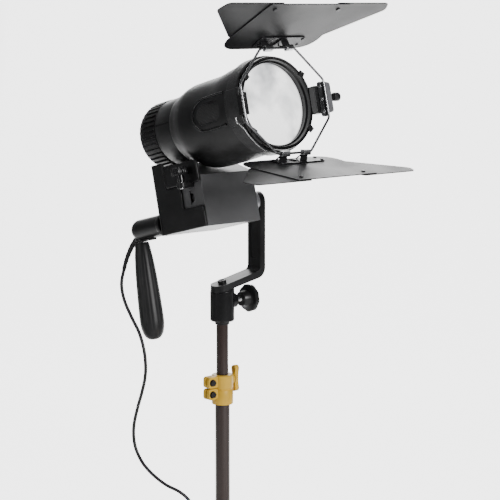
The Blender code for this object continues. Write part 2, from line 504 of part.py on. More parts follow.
LEAF = [(-0.0500, -0.0220), (0.0500, -0.0220), (0.0590, -0.0213), (0.0650, -0.0190), (0.0710, -0.0150),
        (0.0752, -0.0090), (0.0775, -0.0010), (0.0775, 0.0080), (0.0672, 0.0815), (0.0655, 0.0840),
        (-0.0655, 0.0840), (-0.0672, 0.0815), (-0.0775, 0.0080), (-0.0775, -0.0010), (-0.0752, -0.0090),
        (-0.0710, -0.0150), (-0.0650, -0.0190), (-0.0590, -0.0213)]
WING = [(0.0770, 0.0040), (0.1410, 0.0670), (0.1412, 0.0695), (0.1350, 0.0825), (0.1330, 0.0840),
        (0.0450, 0.0840), (0.0430, 0.0820), (0.0430, 0.0600), (0.0660, 0.0080)]
for name, side, angle in (("top", 1, -TOP_ANGLE), ("bottom", -1, BOTTOM_ANGLE)):
    hinge = frame(f"{name}_door_axis", doors, (0, -FRAME_F, side * HINGE_U), (angle, 0, 0))
    low, high = sorted((side * LEAF_LIFT, side * (LEAF_LIFT + 0.0012)))
    leaf = plate(f"{name}_leaf", hinge, [(x, -d) for x, d in LEAF], low, high, BLACK)
    base, lid = sorted((side * 0.0102, side * (LEAF_LIFT - GAP)))
    bracket = block(f"{name}_hinge", hinge, (-0.0270, -0.0080, base), (0.0500, 0.0160, lid), STEEL)
    foot_z, head_z = sorted((side * 0.0022, side * 0.0110))
    for tag, x_low, x_high in (("left", -0.0220, -0.0090), ("right", 0.0140, 0.0260)):
        web = block(f"{name}_{tag}_web", hinge, (x_low, 0.0018, foot_z), (x_high, 0.0034, head_z), cutter=True)
        foot_web = block(f"{name}_{tag}_foot", hinge, (x_low, -0.0034, min(side * 0.0020, side * 0.0034)),
                         (x_high, 0.0034, max(side * 0.0020, side * 0.0034)), cutter=True)
        sleeve = rod(f"{name}_{tag}_sleeve", hinge, 0.0034, x_low, x_high, steps=12, rotation=(0, 90, 0),
                     cutter=True)
        join(bracket, web, foot_web, sleeve)
    cut(bracket, rod(f"{name}_bar_hole", hinge, 0.0019, -0.0300, 0.0300, steps=12, rotation=(0, 90, 0),
                     cutter=True))
    for tag, hand in (("right", 1), ("left", -1)):
        post = frame(f"{name}_{tag}_wing_axis", hinge, (hand * 0.0530, -0.0720, 0))
        low, high = sorted((side * (LEAF_LIFT + 0.0015), side * (LEAF_LIFT + 0.0027)))
        line = [(hand * x - hand * 0.0530, 0.0720 - d) for x, d in WING]
        wing = plate(f"{name}_wing_{tag}", post, line, low, high, BLACK)
        pin_low, pin_high = sorted((side * (LEAF_LIFT - 0.0010), side * (LEAF_LIFT + 0.0036)))
        join(wing, rod(f"{name}_{tag}_rivet", post, 0.0022, pin_low, pin_high, steps=16, cutter=True))
        cut(leaf, rod(f"{name}_{tag}_hole", post, 0.0025, min(0, side * 0.03), max(0, side * 0.03), steps=12,
                      cutter=True))

# Power lead: out of the handle, round behind the stand, down to a tied coil on the floor.
LEAD = [
    (-0.0340, 0.1466, 0.6174), (-0.0365, 0.1500, 0.6110), (-0.0410, 0.1545, 0.5960), (-0.0450, 0.1570, 0.5790),
    (-0.0500, 0.1560, 0.5600), (-0.0530, 0.1460, 0.5395), (-0.0550, 0.1270, 0.5182), (-0.0560, 0.1090, 0.4993),
    (-0.0560, 0.0990, 0.4776), (-0.0560, 0.0955, 0.4564), (-0.0560, 0.0973, 0.4376), (-0.0560, 0.1046, 0.4164),
    (-0.0560, 0.1139, 0.3948), (-0.0560, 0.1224, 0.3701), (-0.0560, 0.1238, 0.3511), (-0.0555, 0.1190, 0.3334),
    (-0.0540, 0.1058, 0.3164), (-0.0500, 0.0880, 0.3030), (-0.0430, 0.0690, 0.2918), (-0.0340, 0.0530, 0.2846),
    (-0.0250, 0.0440, 0.2740), (-0.0170, 0.0410, 0.2580), (-0.0115, 0.0430, 0.2380), (-0.0085, 0.0470, 0.2150),
    (-0.0070, 0.0515, 0.1860), (-0.0060, 0.0560, 0.1500), (-0.0060, 0.0570, 0.1100), (-0.0060, 0.0590, 0.0700),
    (-0.0070, 0.0630, 0.0400), (-0.0100, 0.0690, 0.0200), (-0.0150, 0.0740, 0.0090), (-0.0230, 0.0785, 0.0034),
]
tube_path("power_lead", stand, LEAD, 0.0023, RUBBER, 2)
turned("power_lead_coil", stand, [(0.0250, 0.0180), (0.0290, 0.0175), (0.0320, 0.0130), (0.0320, 0.0050),
                                  (0.0290, 0.0004), (0.0210, 0.0004), (0.0190, 0.0050), (0.0190, 0.0130),
                                  (0.0210, 0.0175)], RUBBER, 22, (-0.0100, 0.1120, 0), ring=True)
turned("lead_connector", stand, [(0, 0.0480), (0.0055, 0.0480), (0.0058, 0.0470), (0.0058, 0.0200),
                                 (0.0040, 0.0090), (0.0028, 0.0010), (0, 0.0010)], PLASTIC, 16,
       (0.0300, 0.0750, 0.0062), (0, 90, 80))
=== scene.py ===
import math

import bmesh
import bpy
from mathutils import Matrix, Vector


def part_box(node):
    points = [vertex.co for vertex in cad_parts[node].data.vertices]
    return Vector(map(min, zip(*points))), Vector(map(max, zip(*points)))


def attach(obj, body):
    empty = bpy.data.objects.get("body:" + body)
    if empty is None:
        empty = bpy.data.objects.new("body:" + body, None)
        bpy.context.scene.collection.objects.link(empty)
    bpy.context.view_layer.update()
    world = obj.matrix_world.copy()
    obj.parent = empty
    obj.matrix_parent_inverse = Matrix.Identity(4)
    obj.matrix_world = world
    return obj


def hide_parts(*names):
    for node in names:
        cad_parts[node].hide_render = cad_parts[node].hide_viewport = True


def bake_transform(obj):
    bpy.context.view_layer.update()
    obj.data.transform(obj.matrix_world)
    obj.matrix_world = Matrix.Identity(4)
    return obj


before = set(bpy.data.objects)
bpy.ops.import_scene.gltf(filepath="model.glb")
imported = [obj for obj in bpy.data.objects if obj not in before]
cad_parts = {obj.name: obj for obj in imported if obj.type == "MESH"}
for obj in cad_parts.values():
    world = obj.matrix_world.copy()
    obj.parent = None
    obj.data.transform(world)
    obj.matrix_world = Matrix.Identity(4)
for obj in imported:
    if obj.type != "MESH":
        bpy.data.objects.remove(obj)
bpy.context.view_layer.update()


def shift(x, y, z):
    return Matrix.Translation((x, y, z))


def spin(degrees, axis):
    return Matrix.Rotation(math.radians(degrees), 4, axis)


def linked(made):
    bpy.context.scene.collection.objects.link(made)
    return made


def middle(node):
    low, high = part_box(node)
    return (Vector(low) + Vector(high)) / 2


# Places worked out from the frame.
POLE = middle("riser_tube")
POLE_Y = POLE.y
PIVOT = Vector((0, POLE_Y, middle("tilt_washer").z))
LEAN = math.radians(13.9)
AXIS_U = 0.1083
HANDLE_X = -0.034
FRAME_F = 0.1545
HINGE_U = 0.067
TOP_ANGLE = math.radians(18.0)
BOTTOM_ANGLE = math.radians(21.5)
CLAMP_Z = middle("clamp_screw").z
COLLAR_Z = 0.4435

# The camera of the photograph's viewpoint.
AZIMUTH = math.radians(-41.3)
ELEVATION = math.radians(8.2)
DISTANCE = 2.257
FOCAL_LENGTH = 122.4
TARGET = Vector((0, POLE_Y, 0.620)) + 0.03704 * Vector((math.cos(AZIMUTH), math.sin(AZIMUTH), 0))

WORLD = Matrix.Identity(4)
STAND = shift(0, POLE_Y, 0)
HEAD = Matrix.Translation(PIVOT) @ Matrix.Rotation(-LEAN, 4, "X")
OPTIC = HEAD @ shift(0, 0, AXIS_U) @ spin(90, "X")
DOORS = HEAD @ shift(0, 0, AXIS_U)
TOP_DOOR = DOORS @ shift(0, -FRAME_F, HINGE_U) @ Matrix.Rotation(-TOP_ANGLE, 4, "X")
BOTTOM_DOOR = DOORS @ shift(0, -FRAME_F, -HINGE_U) @ Matrix.Rotation(BOTTOM_ANGLE, 4, "X")
SIDEWAYS = spin(90, "Y")
FACE_ON = spin(90, "Z") @ spin(90, "X")


# ---- Materials ----

SPECULAR_LEVEL = 0.35


def set_inputs(node, **values):
    """Sets a node's inputs by name, with _ for a space."""
    for name, value in values.items():
        node.inputs[name.replace("_", " ")].default_value = value
    return node


def new_node(tree, kind, **values):
    return set_inputs(tree.nodes.new(f"ShaderNode{kind}"), **values)


def new_material(name):
    made = bpy.data.materials.new(name)
    made.use_nodes = True
    return made, made.node_tree, made.node_tree.nodes["Principled BSDF"]


def two_tone(tree, source, *stops):
    """Colour that goes from the first (position, colour) stop to the second."""
    ramp = new_node(tree, "ValToRGB")
    for element, (position, color) in zip(ramp.color_ramp.elements, stops):
        element.position = position
        element.color = (*color, 1.0)
    tree.links.new(source, ramp.inputs["Fac"])
    return ramp.outputs["Color"]


def mapped(tree, source, start, stop, low, high):
    """The source's values from start to stop, mapped to low to high."""
    made = new_node(tree, "MapRange", From_Min=start, From_Max=stop, To_Min=low, To_Max=high)
    tree.links.new(source, made.inputs["Value"])
    return made.outputs["Result"]


def bumped(tree, shader, height, strength, distance):
    raised = new_node(tree, "Bump", Strength=strength, Distance=distance)
    tree.links.new(height, raised.inputs["Height"])
    tree.links.new(raised.outputs["Normal"], shader.inputs["Normal"])


def surface(name, color, rough, metallic=0.0, vary=0.25, grain=900.0, bump=0.08, blotch=35.0,
            rough_vary=0.12, coat=0.0):
    """Painted, moulded or metal surface: blotchy colour, fine grain in the bump and uneven gloss."""
    made, tree, shader = new_material(name)
    set_inputs(shader, Metallic=metallic, Specular_IOR_Level=SPECULAR_LEVEL, Coat_Weight=coat,
               Coat_Roughness=0.15)
    coords = new_node(tree, "TexCoord").outputs["Object"]
    wide = new_node(tree, "TexNoise", Scale=blotch, Detail=6.0)
    fine = new_node(tree, "TexNoise", Scale=grain, Detail=4.0)
    for noise in (wide, fine):
        tree.links.new(coords, noise.inputs["Vector"])
    dark = tuple(c * (1.0 - vary) for c in color)
    light = tuple(min(1.0, c * (1.0 + vary)) for c in color)
    tone = two_tone(tree, wide.outputs["Fac"], (0.3, dark), (0.7, light))
    tree.links.new(tone, shader.inputs["Base Color"])
    gloss = mapped(tree, wide.outputs["Fac"], 0.0, 1.0, max(0.04, rough - rough_vary),
                   min(1.0, rough + rough_vary))
    tree.links.new(gloss, shader.inputs["Roughness"])
    bumped(tree, shader, fine.outputs["Fac"], bump, 0.0004)
    return made


BARREL = surface("barrel_satin_black", (0.010, 0.010, 0.0105), 0.36, 0.0, 0.2, 1400, 0.06)
BLACK = surface("cast_satin_black", (0.008, 0.008, 0.0085), 0.34, 0.0, 0.25, 900, 0.08)
DOOR = surface("door_matt_black", (0.010, 0.010, 0.0105), 0.38, 0.0, 0.3, 1600, 0.06, 22.0)
MOULDED = surface("moulded_black", (0.008, 0.008, 0.0085), 0.34, 0.0, 0.2, 2200, 0.12)
GLOSSY = surface("glossy_black", (0.006, 0.006, 0.0065), 0.20, 0.0, 0.2, 700, 0.05)
GRIP = surface("grip_rubber", (0.009, 0.009, 0.0095), 0.42, 0.0, 0.2, 1800, 0.25)
RUBBER = surface("lead_rubber", (0.016, 0.016, 0.017), 0.40, 0.0, 0.2, 1200, 0.12)
GREY = surface("grey_hammered_sheet", (0.115, 0.115, 0.118), 0.36, 0.2, 0.12, 1300, 0.16, 18.0)
STEEL = surface("bright_steel", (0.68, 0.68, 0.69), 0.22, 1.0, 0.12, 600, 0.04, 60.0)
ZINC = surface("zinc_plate", (0.52, 0.52, 0.54), 0.32, 0.85, 0.15, 900, 0.08, 45.0)
TUBE = surface("enamelled_tube", (0.030, 0.017, 0.014), 0.17, 0.30, 0.15, 500, 0.03, 12.0, 0.06, 0.5)
YELLOW = surface("mustard_enamel", (0.62, 0.37, 0.030), 0.38, 0.0, 0.12, 700, 0.10, 60.0)
ALLOY = surface("plain_alloy", (0.55, 0.56, 0.58), 0.36, 1.0, 0.1, 800, 0.05)
BOARD = surface("circuit_board_green", (0.02, 0.16, 0.08), 0.45, 0.0, 0.3, 300, 0.05)
BAND = surface("knurled_black", (0.024, 0.024, 0.025), 0.36, 0.0, 0.5, 1500, 0.6, 420.0)
HINGE = surface("blackened_steel", (0.030, 0.030, 0.032), 0.30, 0.6, 0.2, 900, 0.10, 50.0)
PLATE = surface("pale_grey_plate", (0.20, 0.20, 0.21), 0.35, 0.5, 0.1, 900, 0.06, 30.0)
WIRE = surface("wire_steel", (0.30, 0.30, 0.31), 0.24, 1.0, 0.12, 600, 0.04, 60.0)
BACKDROP = surface("pale_backdrop", (0.92, 0.92, 0.92), 0.85, 0.0, 0.01, 60, 0.02, 1.5, 0.02)


def glowing_backdrop():
    """The backdrop gives its own light from well behind the object, so that it stays pale and plain."""
    tree = BACKDROP.node_tree
    shader = tree.nodes["Principled BSDF"]
    set_inputs(shader, Emission_Color=(1.0, 1.0, 1.0, 1.0))
    turn = new_node(tree, "Mapping", Rotation=(0.0, 0.0, -AZIMUTH))
    tree.links.new(tree.nodes["Texture Coordinate"].outputs["Object"], turn.inputs["Vector"])
    split = new_node(tree, "SeparateXYZ")
    tree.links.new(turn.outputs["Vector"], split.inputs["Vector"])
    aside = new_node(tree, "Math")
    aside.operation = "ABSOLUTE"
    tree.links.new(split.outputs["X"], aside.inputs[0])
    both = new_node(tree, "Math")
    both.operation = "MULTIPLY"
    tree.links.new(mapped(tree, split.outputs["Y"], 0.45, 0.95, 0.0, 3.2), both.inputs[0])
    tree.links.new(mapped(tree, aside.outputs["Value"], 0.80, 1.30, 1.0, 0.0), both.inputs[1])
    tree.links.new(both.outputs["Value"], shader.inputs["Emission Strength"])


glowing_backdrop()


def frosted_lens_painted_glow():
    """Pebbled condenser lens, pale, with a painted glow and soft grey streaks of painted reflection from the reflector
    behind it.
    """
    made, tree, shader = new_material("pebbled_lens_painted_glow")
    # Painted glow: the lens gives off light of its own, though it is no lamp.
    set_inputs(shader, Roughness=0.16, Coat_Weight=0.6, Coat_Roughness=0.05, Emission_Strength=1.5)
    coords = new_node(tree, "TexCoord").outputs["Object"]
    painted_reflection_streak = new_node(tree, "TexNoise", Scale=20.0, Detail=3.0, Distortion=0.35)
    pebble = new_node(tree, "TexVoronoi", Scale=420.0)
    for texture in (painted_reflection_streak, pebble):
        tree.links.new(coords, texture.inputs["Vector"])
    tone = two_tone(tree, painted_reflection_streak.outputs["Fac"], (0.34, (0.34, 0.35, 0.36)), (0.60, (0.93, 0.93, 0.93)))
    # The streaked colour, with its painted reflection of the reflector, is both the base colour and the painted glow.
    for name in ("Base Color", "Emission Color"):
        tree.links.new(tone, shader.inputs[name])
    bumped(tree, shader, pebble.outputs["Distance"], 0.25, 0.0006)
    return made


LENS_PAINTED_GLOW = frosted_lens_painted_glow()


# ---- Making pieces ----

def soften(made, width, segments=3):
    soft = made.modifiers.new("edges", "BEVEL")
    soft.width = width
    soft.segments = segments
    soft.limit_method = "ANGLE"
    soft.angle_limit = math.radians(40)
    soft.harden_normals = True


def attached(made, body, nodes):
    """Links a piece into the scene, with its body and the nodes that it replaces."""
    linked(made)
    if body:
        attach(made, body)
    if nodes:
        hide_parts(*nodes)
    return made


def finished(name, bm, place, finish, body, nodes=(), bevel=0.0, angle=32.0):
    """Turns a shape into a piece: placed, smooth up to the angle, and with softened edges if it has a bevel."""
    bmesh.ops.transform(bm, matrix=place, verts=bm.verts)
    bmesh.ops.recalc_face_normals(bm, faces=bm.faces)
    mesh = bpy.data.meshes.new(name)
    bm.to_mesh(mesh)
    bm.free()
    mesh.shade_smooth()
    mesh.set_sharp_from_angle(angle=math.radians(angle))
    mesh.materials.append(finish)
    made = bpy.data.objects.new(name, mesh)
    if bevel:
        soften(made, bevel, 2)
    return attached(made, body, nodes)


def revolve(bm, outline, steps=96, ring=False, ripple=None):
    """Adds a turned shape about Z from (radius, height) points; ripple changes a point's radius with angle."""
    rows = []
    for radius, height in outline:
        if radius < 1e-7:
            rows.append([bm.verts.new((0, 0, height))])
            continue
        row = []
        for step in range(steps):
            a = 2 * math.pi * step / steps
            r = radius if ripple is None else ripple(radius, height, a)
            row.append(bm.verts.new((r * math.cos(a), r * math.sin(a), height)))
        rows.append(row)
    pairs = list(zip(rows, rows[1:]))
    if ring:
        pairs.append((rows[-1], rows[0]))
    for first, second in pairs:
        if len(first) == 1 and len(second) == 1:
            continue
        for step in range(steps):
            after = (step + 1) % steps
            if len(first) == 1:
                bm.faces.new((first[0], second[step], second[after]))
            elif len(second) == 1:
                bm.faces.new((first[step], second[0], first[after]))
            else:
                bm.faces.new((first[step], second[step], second[after], first[after]))


def turned(name, outline, place, finish, body, nodes=(), steps=96, ring=False, ripple=None, angle=32.0,
           bevel=0.0):
    bm = bmesh.new()
    revolve(bm, outline, steps, ring, ripple)
    return finished(name, bm, place, finish, body, nodes, bevel, angle)


def add_box(bm, low, high):
    made = bmesh.ops.create_cube(bm, size=1.0)
    for vert in made["verts"]:
        vert.co = Vector([low[i] if vert.co[i] < 0 else high[i] for i in range(3)])
    return made["verts"]


def add_plate(bm, outline, low, high, place=WORLD):
    verts = [bm.verts.new((x, y, low)) for x, y in outline]
    face = bm.faces.new(verts)
    made = bmesh.ops.extrude_face_region(bm, geom=[face])
    lifted = [v for v in made["geom"] if isinstance(v, bmesh.types.BMVert)]
    bmesh.ops.translate(bm, verts=lifted, vec=(0, 0, high - low))
    bmesh.ops.transform(bm, matrix=place, verts=verts + lifted)


def add_disc(bm, centre, radius, low, high, steps=24, place=WORLD):
    """Short round bar along Z with softened rims, put through a placing matrix."""
    before = set(bm.verts)
    rim = min(radius, high - low) * 0.18
    revolve(bm, [(0, high), (radius - rim, high), (radius, high - rim), (radius, low + rim),
                 (radius - rim, low), (0, low)], steps)
    fresh = [v for v in bm.verts if v not in before]
    bmesh.ops.translate(bm, verts=fresh, vec=(centre[0], centre[1], 0))
    bmesh.ops.transform(bm, matrix=place, verts=fresh)


def arc(cx, cy, radius, start, stop, count):
    return [
        (cx + radius * math.cos(math.radians(start + (stop - start) * i / count)),
         cy + radius * math.sin(math.radians(start + (stop - start) * i / count)))
        for i in range(count + 1)
    ]


def rounded(points, radius, count=4):
    """Outline with each corner rounded by a small arc-like curve."""
    made = []
    total = len(points)
    for index, corner in enumerate(points):
        here = Vector(corner)
        before = Vector(points[index - 1])
        after = Vector(points[(index + 1) % total])
        reach = min(radius, (before - here).length * 0.45, (after - here).length * 0.45)
        start = here + (before - here).normalized() * reach
        stop = here + (after - here).normalized() * reach
        for step in range(count + 1):
            t = step / count
            made.append(tuple((1 - t) ** 2 * start + 2 * t * (1 - t) * here + t ** 2 * stop))
    return made


def wire(name, points, radius, finish, body, nodes=(), place=WORLD, cyclic=False):
    curve = bpy.data.curves.new(name, "CURVE")
    curve.dimensions = "3D"
    curve.bevel_depth = radius
    curve.bevel_resolution = 5
    curve.use_fill_caps = not cyclic
    line = curve.splines.new("POLY")
    line.points.add(len(points) - 1)
    for point, co in zip(line.points, points):
        point.co = (*(place @ Vector(co)), 1.0)
    line.use_cyclic_u = cyclic
    line.use_smooth = True
    curve.materials.append(finish)
    return attached(bpy.data.objects.new(name, curve), body, nodes)


def plate_piece(name, outline, low, high, place, finish, body, slot, nodes=(), bevel=0.0):
    bm = bmesh.new()
    add_plate(bm, outline, low, high)
    return finished(name, bm, place, finish, body, nodes, bevel)


def box_piece(name, low, high, place, finish, body, nodes=(), bevel=0.0):
    bm = bmesh.new()
    add_box(bm, low, high)
    return finished(name, bm, place, finish, body, nodes, bevel)


def disc_piece(name, radius, low, high, steps, place, finish, body):
    bm = bmesh.new()
    add_disc(bm, (0, 0), radius, low, high, steps)
    return finished(name, bm, place, finish, body)


def smooth_path(points, parts):
    """Catmull-Rom curve through the points."""
    made = []
    ends = [2 * points[0] - points[1]] + points + [2 * points[-1] - points[-2]]
    for a, b, c, d in zip(ends, ends[1:], ends[2:], ends[3:]):
        for step in range(parts):
            t = step / parts
            made.append(0.5 * ((2 * b) + (c - a) * t + (2 * a - 5 * b + 4 * c - d) * t ** 2
                               + (3 * b - a - 3 * c + d) * t ** 3))
    made.append(points[-1])
    return made


# ---- Power lead ----

LEAD_R = 0.0023
LEAD = [
    (-0.0340, 0.1466, 0.6174), (-0.0365, 0.1500, 0.6110), (-0.0410, 0.1545, 0.5960), (-0.0450, 0.1570, 0.5790),
    (-0.0500, 0.1560, 0.5600), (-0.0530, 0.1460, 0.5395), (-0.0550, 0.1270, 0.5182), (-0.0560, 0.1090, 0.4993),
    (-0.0560, 0.0990, 0.4776), (-0.0560, 0.0955, 0.4564), (-0.0560, 0.0973, 0.4376), (-0.0560, 0.1046, 0.4164),
    (-0.0560, 0.1139, 0.3948), (-0.0560, 0.1224, 0.3701), (-0.0560, 0.1238, 0.3511), (-0.0555, 0.1190, 0.3334),
    (-0.0540, 0.1058, 0.3164), (-0.0500, 0.0880, 0.3030), (-0.0430, 0.0690, 0.2918), (-0.0340, 0.0530, 0.2846),
    (-0.0250, 0.0440, 0.2740), (-0.0170, 0.0410, 0.2580), (-0.0115, 0.0430, 0.2380), (-0.0085, 0.0470, 0.2150),
    (-0.0070, 0.0515, 0.1860), (-0.0060, 0.0560, 0.1500), (-0.0060, 0.0570, 0.1100), (-0.0060, 0.0590, 0.0700),
    (-0.0070, 0.0630, 0.0400), (-0.0100, 0.0690, 0.0200), (-0.0150, 0.0740, 0.0090), (-0.0230, 0.0785, 0.0034),
]
COIL = Vector((-0.0100, 0.1120, 0))
COIL_TURNS = 5.30
COIL_INNER, COIL_OUTER = 0.0212, 0.0312
TURN_GAP = 0.0050
LAYER_RISE = 0.0047
CLIMB = 0.12


def coil_points():
    """Flat spirals that lie on each other: two layers of two turns and a last one of the turns that remain."""
    made = []
    steps = int(COIL_TURNS * 28)
    for step in range(steps + 1):
        t = COIL_TURNS * step / steps
        layer = min(2, int(t / 2))
        within = t - 2 * layer
        radius = COIL_INNER + TURN_GAP * within if layer == 1 else COIL_OUTER - TURN_GAP * within
        height = 0.0027 + LAYER_RISE * layer
        if layer < 2 and within > 2 - CLIMB:
            height += LAYER_RISE * 0.5 * (1 - math.cos(math.pi * (within - 2 + CLIMB) / (2 * CLIMB)))
        if layer > 0 and within < CLIMB:
            height -= LAYER_RISE * 0.5 * (1 + math.cos(math.pi * (within + CLIMB) / (2 * CLIMB)))
        a = math.radians(-150 - 360 * t)
        made.append(COIL + Vector((radius * math.cos(a), radius * math.sin(a), height)))
    return made


def lead_route():
    """From the boot on the handle, down beside the stand, round the coil and into the plug."""
    coil = coil_points()
    whole = smooth_path([Vector(p) for p in LEAD], 4) + coil
    tail = [Vector(p) for p in ((-0.0040, 0.1385, 0.0150), (0.0060, 0.1415, 0.0178), (0.0140, 0.1437, 0.0160))]
    turn = arc(0.0196, 0.1256, 0.0190, 78, -10, 6)
    drop = (0.0124, 0.0097, 0.0079, 0.0069, 0.0064, 0.0062, 0.0062)
    tail += [Vector((x, y, z)) for (x, y), z in zip(turn, drop)]
    whole += smooth_path([coil[-2], coil[-1]] + tail, 5)[6:]
    return [STAND @ p for p in whole]


def swept(name, path, radii, finish, body, nodes=(), sides=14):
    """Mesh tube along a path, with its cross-section carried along without twisting."""
    bm = bmesh.new()
    rings = []
    normal = Vector((1, 0, 0))
    for index, here in enumerate(path):
        ahead = path[min(index + 1, len(path) - 1)] - path[max(index - 1, 0)]
        ahead.normalize()
        normal = (normal - ahead * normal.dot(ahead)).normalized()
        across = ahead.cross(normal)
        rings.append([
            bm.verts.new(here + radii[index] * (math.cos(2 * math.pi * k / sides) * normal
                                                + math.sin(2 * math.pi * k / sides) * across))
            for k in range(sides)
        ])
    for first, second in zip(rings, rings[1:]):
        for k in range(sides):
            after = (k + 1) % sides
            bm.faces.new((first[k], first[after], second[after], second[k]))
    bm.faces.new(list(reversed(rings[0])))
    bm.faces.new(rings[-1])
    return finished(name, bm, WORLD, finish, body, nodes, 0.0, 50.0)


def power_lead():
    route = lead_route()
    lead = swept("dc_lead", route, [LEAD_R] * len(route), RUBBER, None)
    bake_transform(lead)
    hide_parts("power_lead", "power_lead_coil")
    plug_line = [(0, 0.0480), (0.0027, 0.0480), (0.0030, 0.0475), (0.0030, 0.0420), (0.0050, 0.0415),
                 (0.0056, 0.0405), (0.0058, 0.0330), (0.0053, 0.0325), (0.0053, 0.0315), (0.0058, 0.0310),
                 (0.0056, 0.0200), (0.0045, 0.0120), (0.0030, 0.0010), (0, 0.0010)]
    plug = turned("lead_plug", plug_line,
                  STAND @ shift(0.0383, 0.1223, 0.0062)
                  @ spin(260, "Z") @ SIDEWAYS,
                  MOULDED, "yoke", ["lead_connector"], 40)
    tie = bmesh.new()
    loop = [(-0.0079, -0.0086), (0.0084, -0.0086), (0.0084, 0.0088), (-0.0079, 0.0088)]
    outer = rounded(loop, 0.004, 6)
    inner = [(x * 0.93, y * 0.93) for x, y in outer]
    for low in (-0.0024, 0.0009):
        rings = [[tie.verts.new((x, z, y)) for x, y in ring]
                 for ring in (outer, inner) for z in (low, low + 0.0015)]
        for first, second in ((0, 1), (1, 3), (3, 2), (2, 0)):
            for k in range(len(outer)):
                after = (k + 1) % len(outer)
                tie.faces.new((rings[first][k], rings[first][after], rings[second][after], rings[second][k]))
    add_box(tie, (0.0070, -0.0030, -0.0010), (0.0100, 0.0030, 0.0030))
    tie_piece = finished("coil_tie", tie, STAND @ Matrix.Translation(COIL + Vector((0.0262, 0, 0.0089))),
                         STEEL, "yoke")
    gland = HEAD @ Vector((HANDLE_X, 0.1512, -0.0225))
    exit_point = STAND @ Vector(LEAD[0])
    boot = [gland, gland.lerp(exit_point, 0.5), exit_point] + route[1:13]
    radii = [0.0041 - 0.0001 * k + (0.0002 if k % 2 else -0.0002) for k in range(len(boot))]
    boot_piece = swept("lead_boot", boot, radii, RUBBER, "head", ["lead_gland"], 20)


def camera():
    back = Vector((math.sin(AZIMUTH) * math.cos(ELEVATION), -math.cos(AZIMUTH) * math.cos(ELEVATION),
                   math.sin(ELEVATION)))
    lens = bpy.data.cameras.new("camera")
    lens.lens = FOCAL_LENGTH
    made = linked(bpy.data.objects.new("camera", lens))
    made.location = TARGET + back * DISTANCE
    made.rotation_euler = (-back).to_track_quat("-Z", "Y").to_euler()
    bpy.context.scene.camera = made


def dress(node, finish):
    """Gives a CAD node that keeps its shape its finish."""
    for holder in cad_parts[node].material_slots:
        holder.material = finish


def carve(made, shape, place, operation="DIFFERENCE"):
    """Cuts a piece by a closed shape, or keeps only what lies inside it."""
    bmesh.ops.transform(shape, matrix=place, verts=shape.verts)
    bmesh.ops.recalc_face_normals(shape, faces=shape.faces)
    mesh = bpy.data.meshes.new("shape")
    shape.to_mesh(mesh)
    shape.free()
    tool = linked(bpy.data.objects.new("shape", mesh))
    step = made.modifiers.new("carve", "BOOLEAN")
    step.operation = operation
    step.solver = "EXACT"
    step.object = tool
    graph = bpy.context.evaluated_depsgraph_get()
    result = bpy.data.meshes.new_from_object(made.evaluated_get(graph))
    result.name = made.name
    result.set_sharp_from_angle(angle=math.radians(32))
    made.modifiers.clear()
    made.data = result
    bpy.data.objects.remove(tool)


def cut_plate(made, outline, low, high, place, operation="DIFFERENCE"):
    shape = bmesh.new()
    add_plate(shape, outline, low, high)
    carve(made, shape, place, operation)


def cut_box(made, low, high, place, operation="DIFFERENCE"):
    shape = bmesh.new()
    add_box(shape, low, high)
    carve(made, shape, place, operation)


def cut_bore(made, radius, low, high, place, steps=32):
    shape = bmesh.new()
    revolve(shape, [(0, high), (radius, high), (radius, low), (0, low)], steps)
    carve(made, shape, place)


# ---- Stand ----

def stand():
    turned("riser", [(0.0070, 0.5590), (0.0080, 0.5585), (0.0080, 0.1255), (0.0070, 0.1250)], STAND, TUBE, "riser",
           ["riser_tube"], 64, True)
    turned("lower_column", [(0.0088, 0.4315), (0.0099, 0.4310), (0.0099, 0.0490), (0.0086, 0.0488)], STAND, TUBE,
           "column", ["column_tube"], 72, True)
    for k in (1, 2, 3):
        dress(f"leg_{k}", TUBE)
        dress(f"strut_{k}", BLACK)
        dress(f"foot_{k}", GRIP)
    for node in ("column_plug", "leg_collar", "leg_collar_knob"):
        dress(node, MOULDED)
    riser_lock()


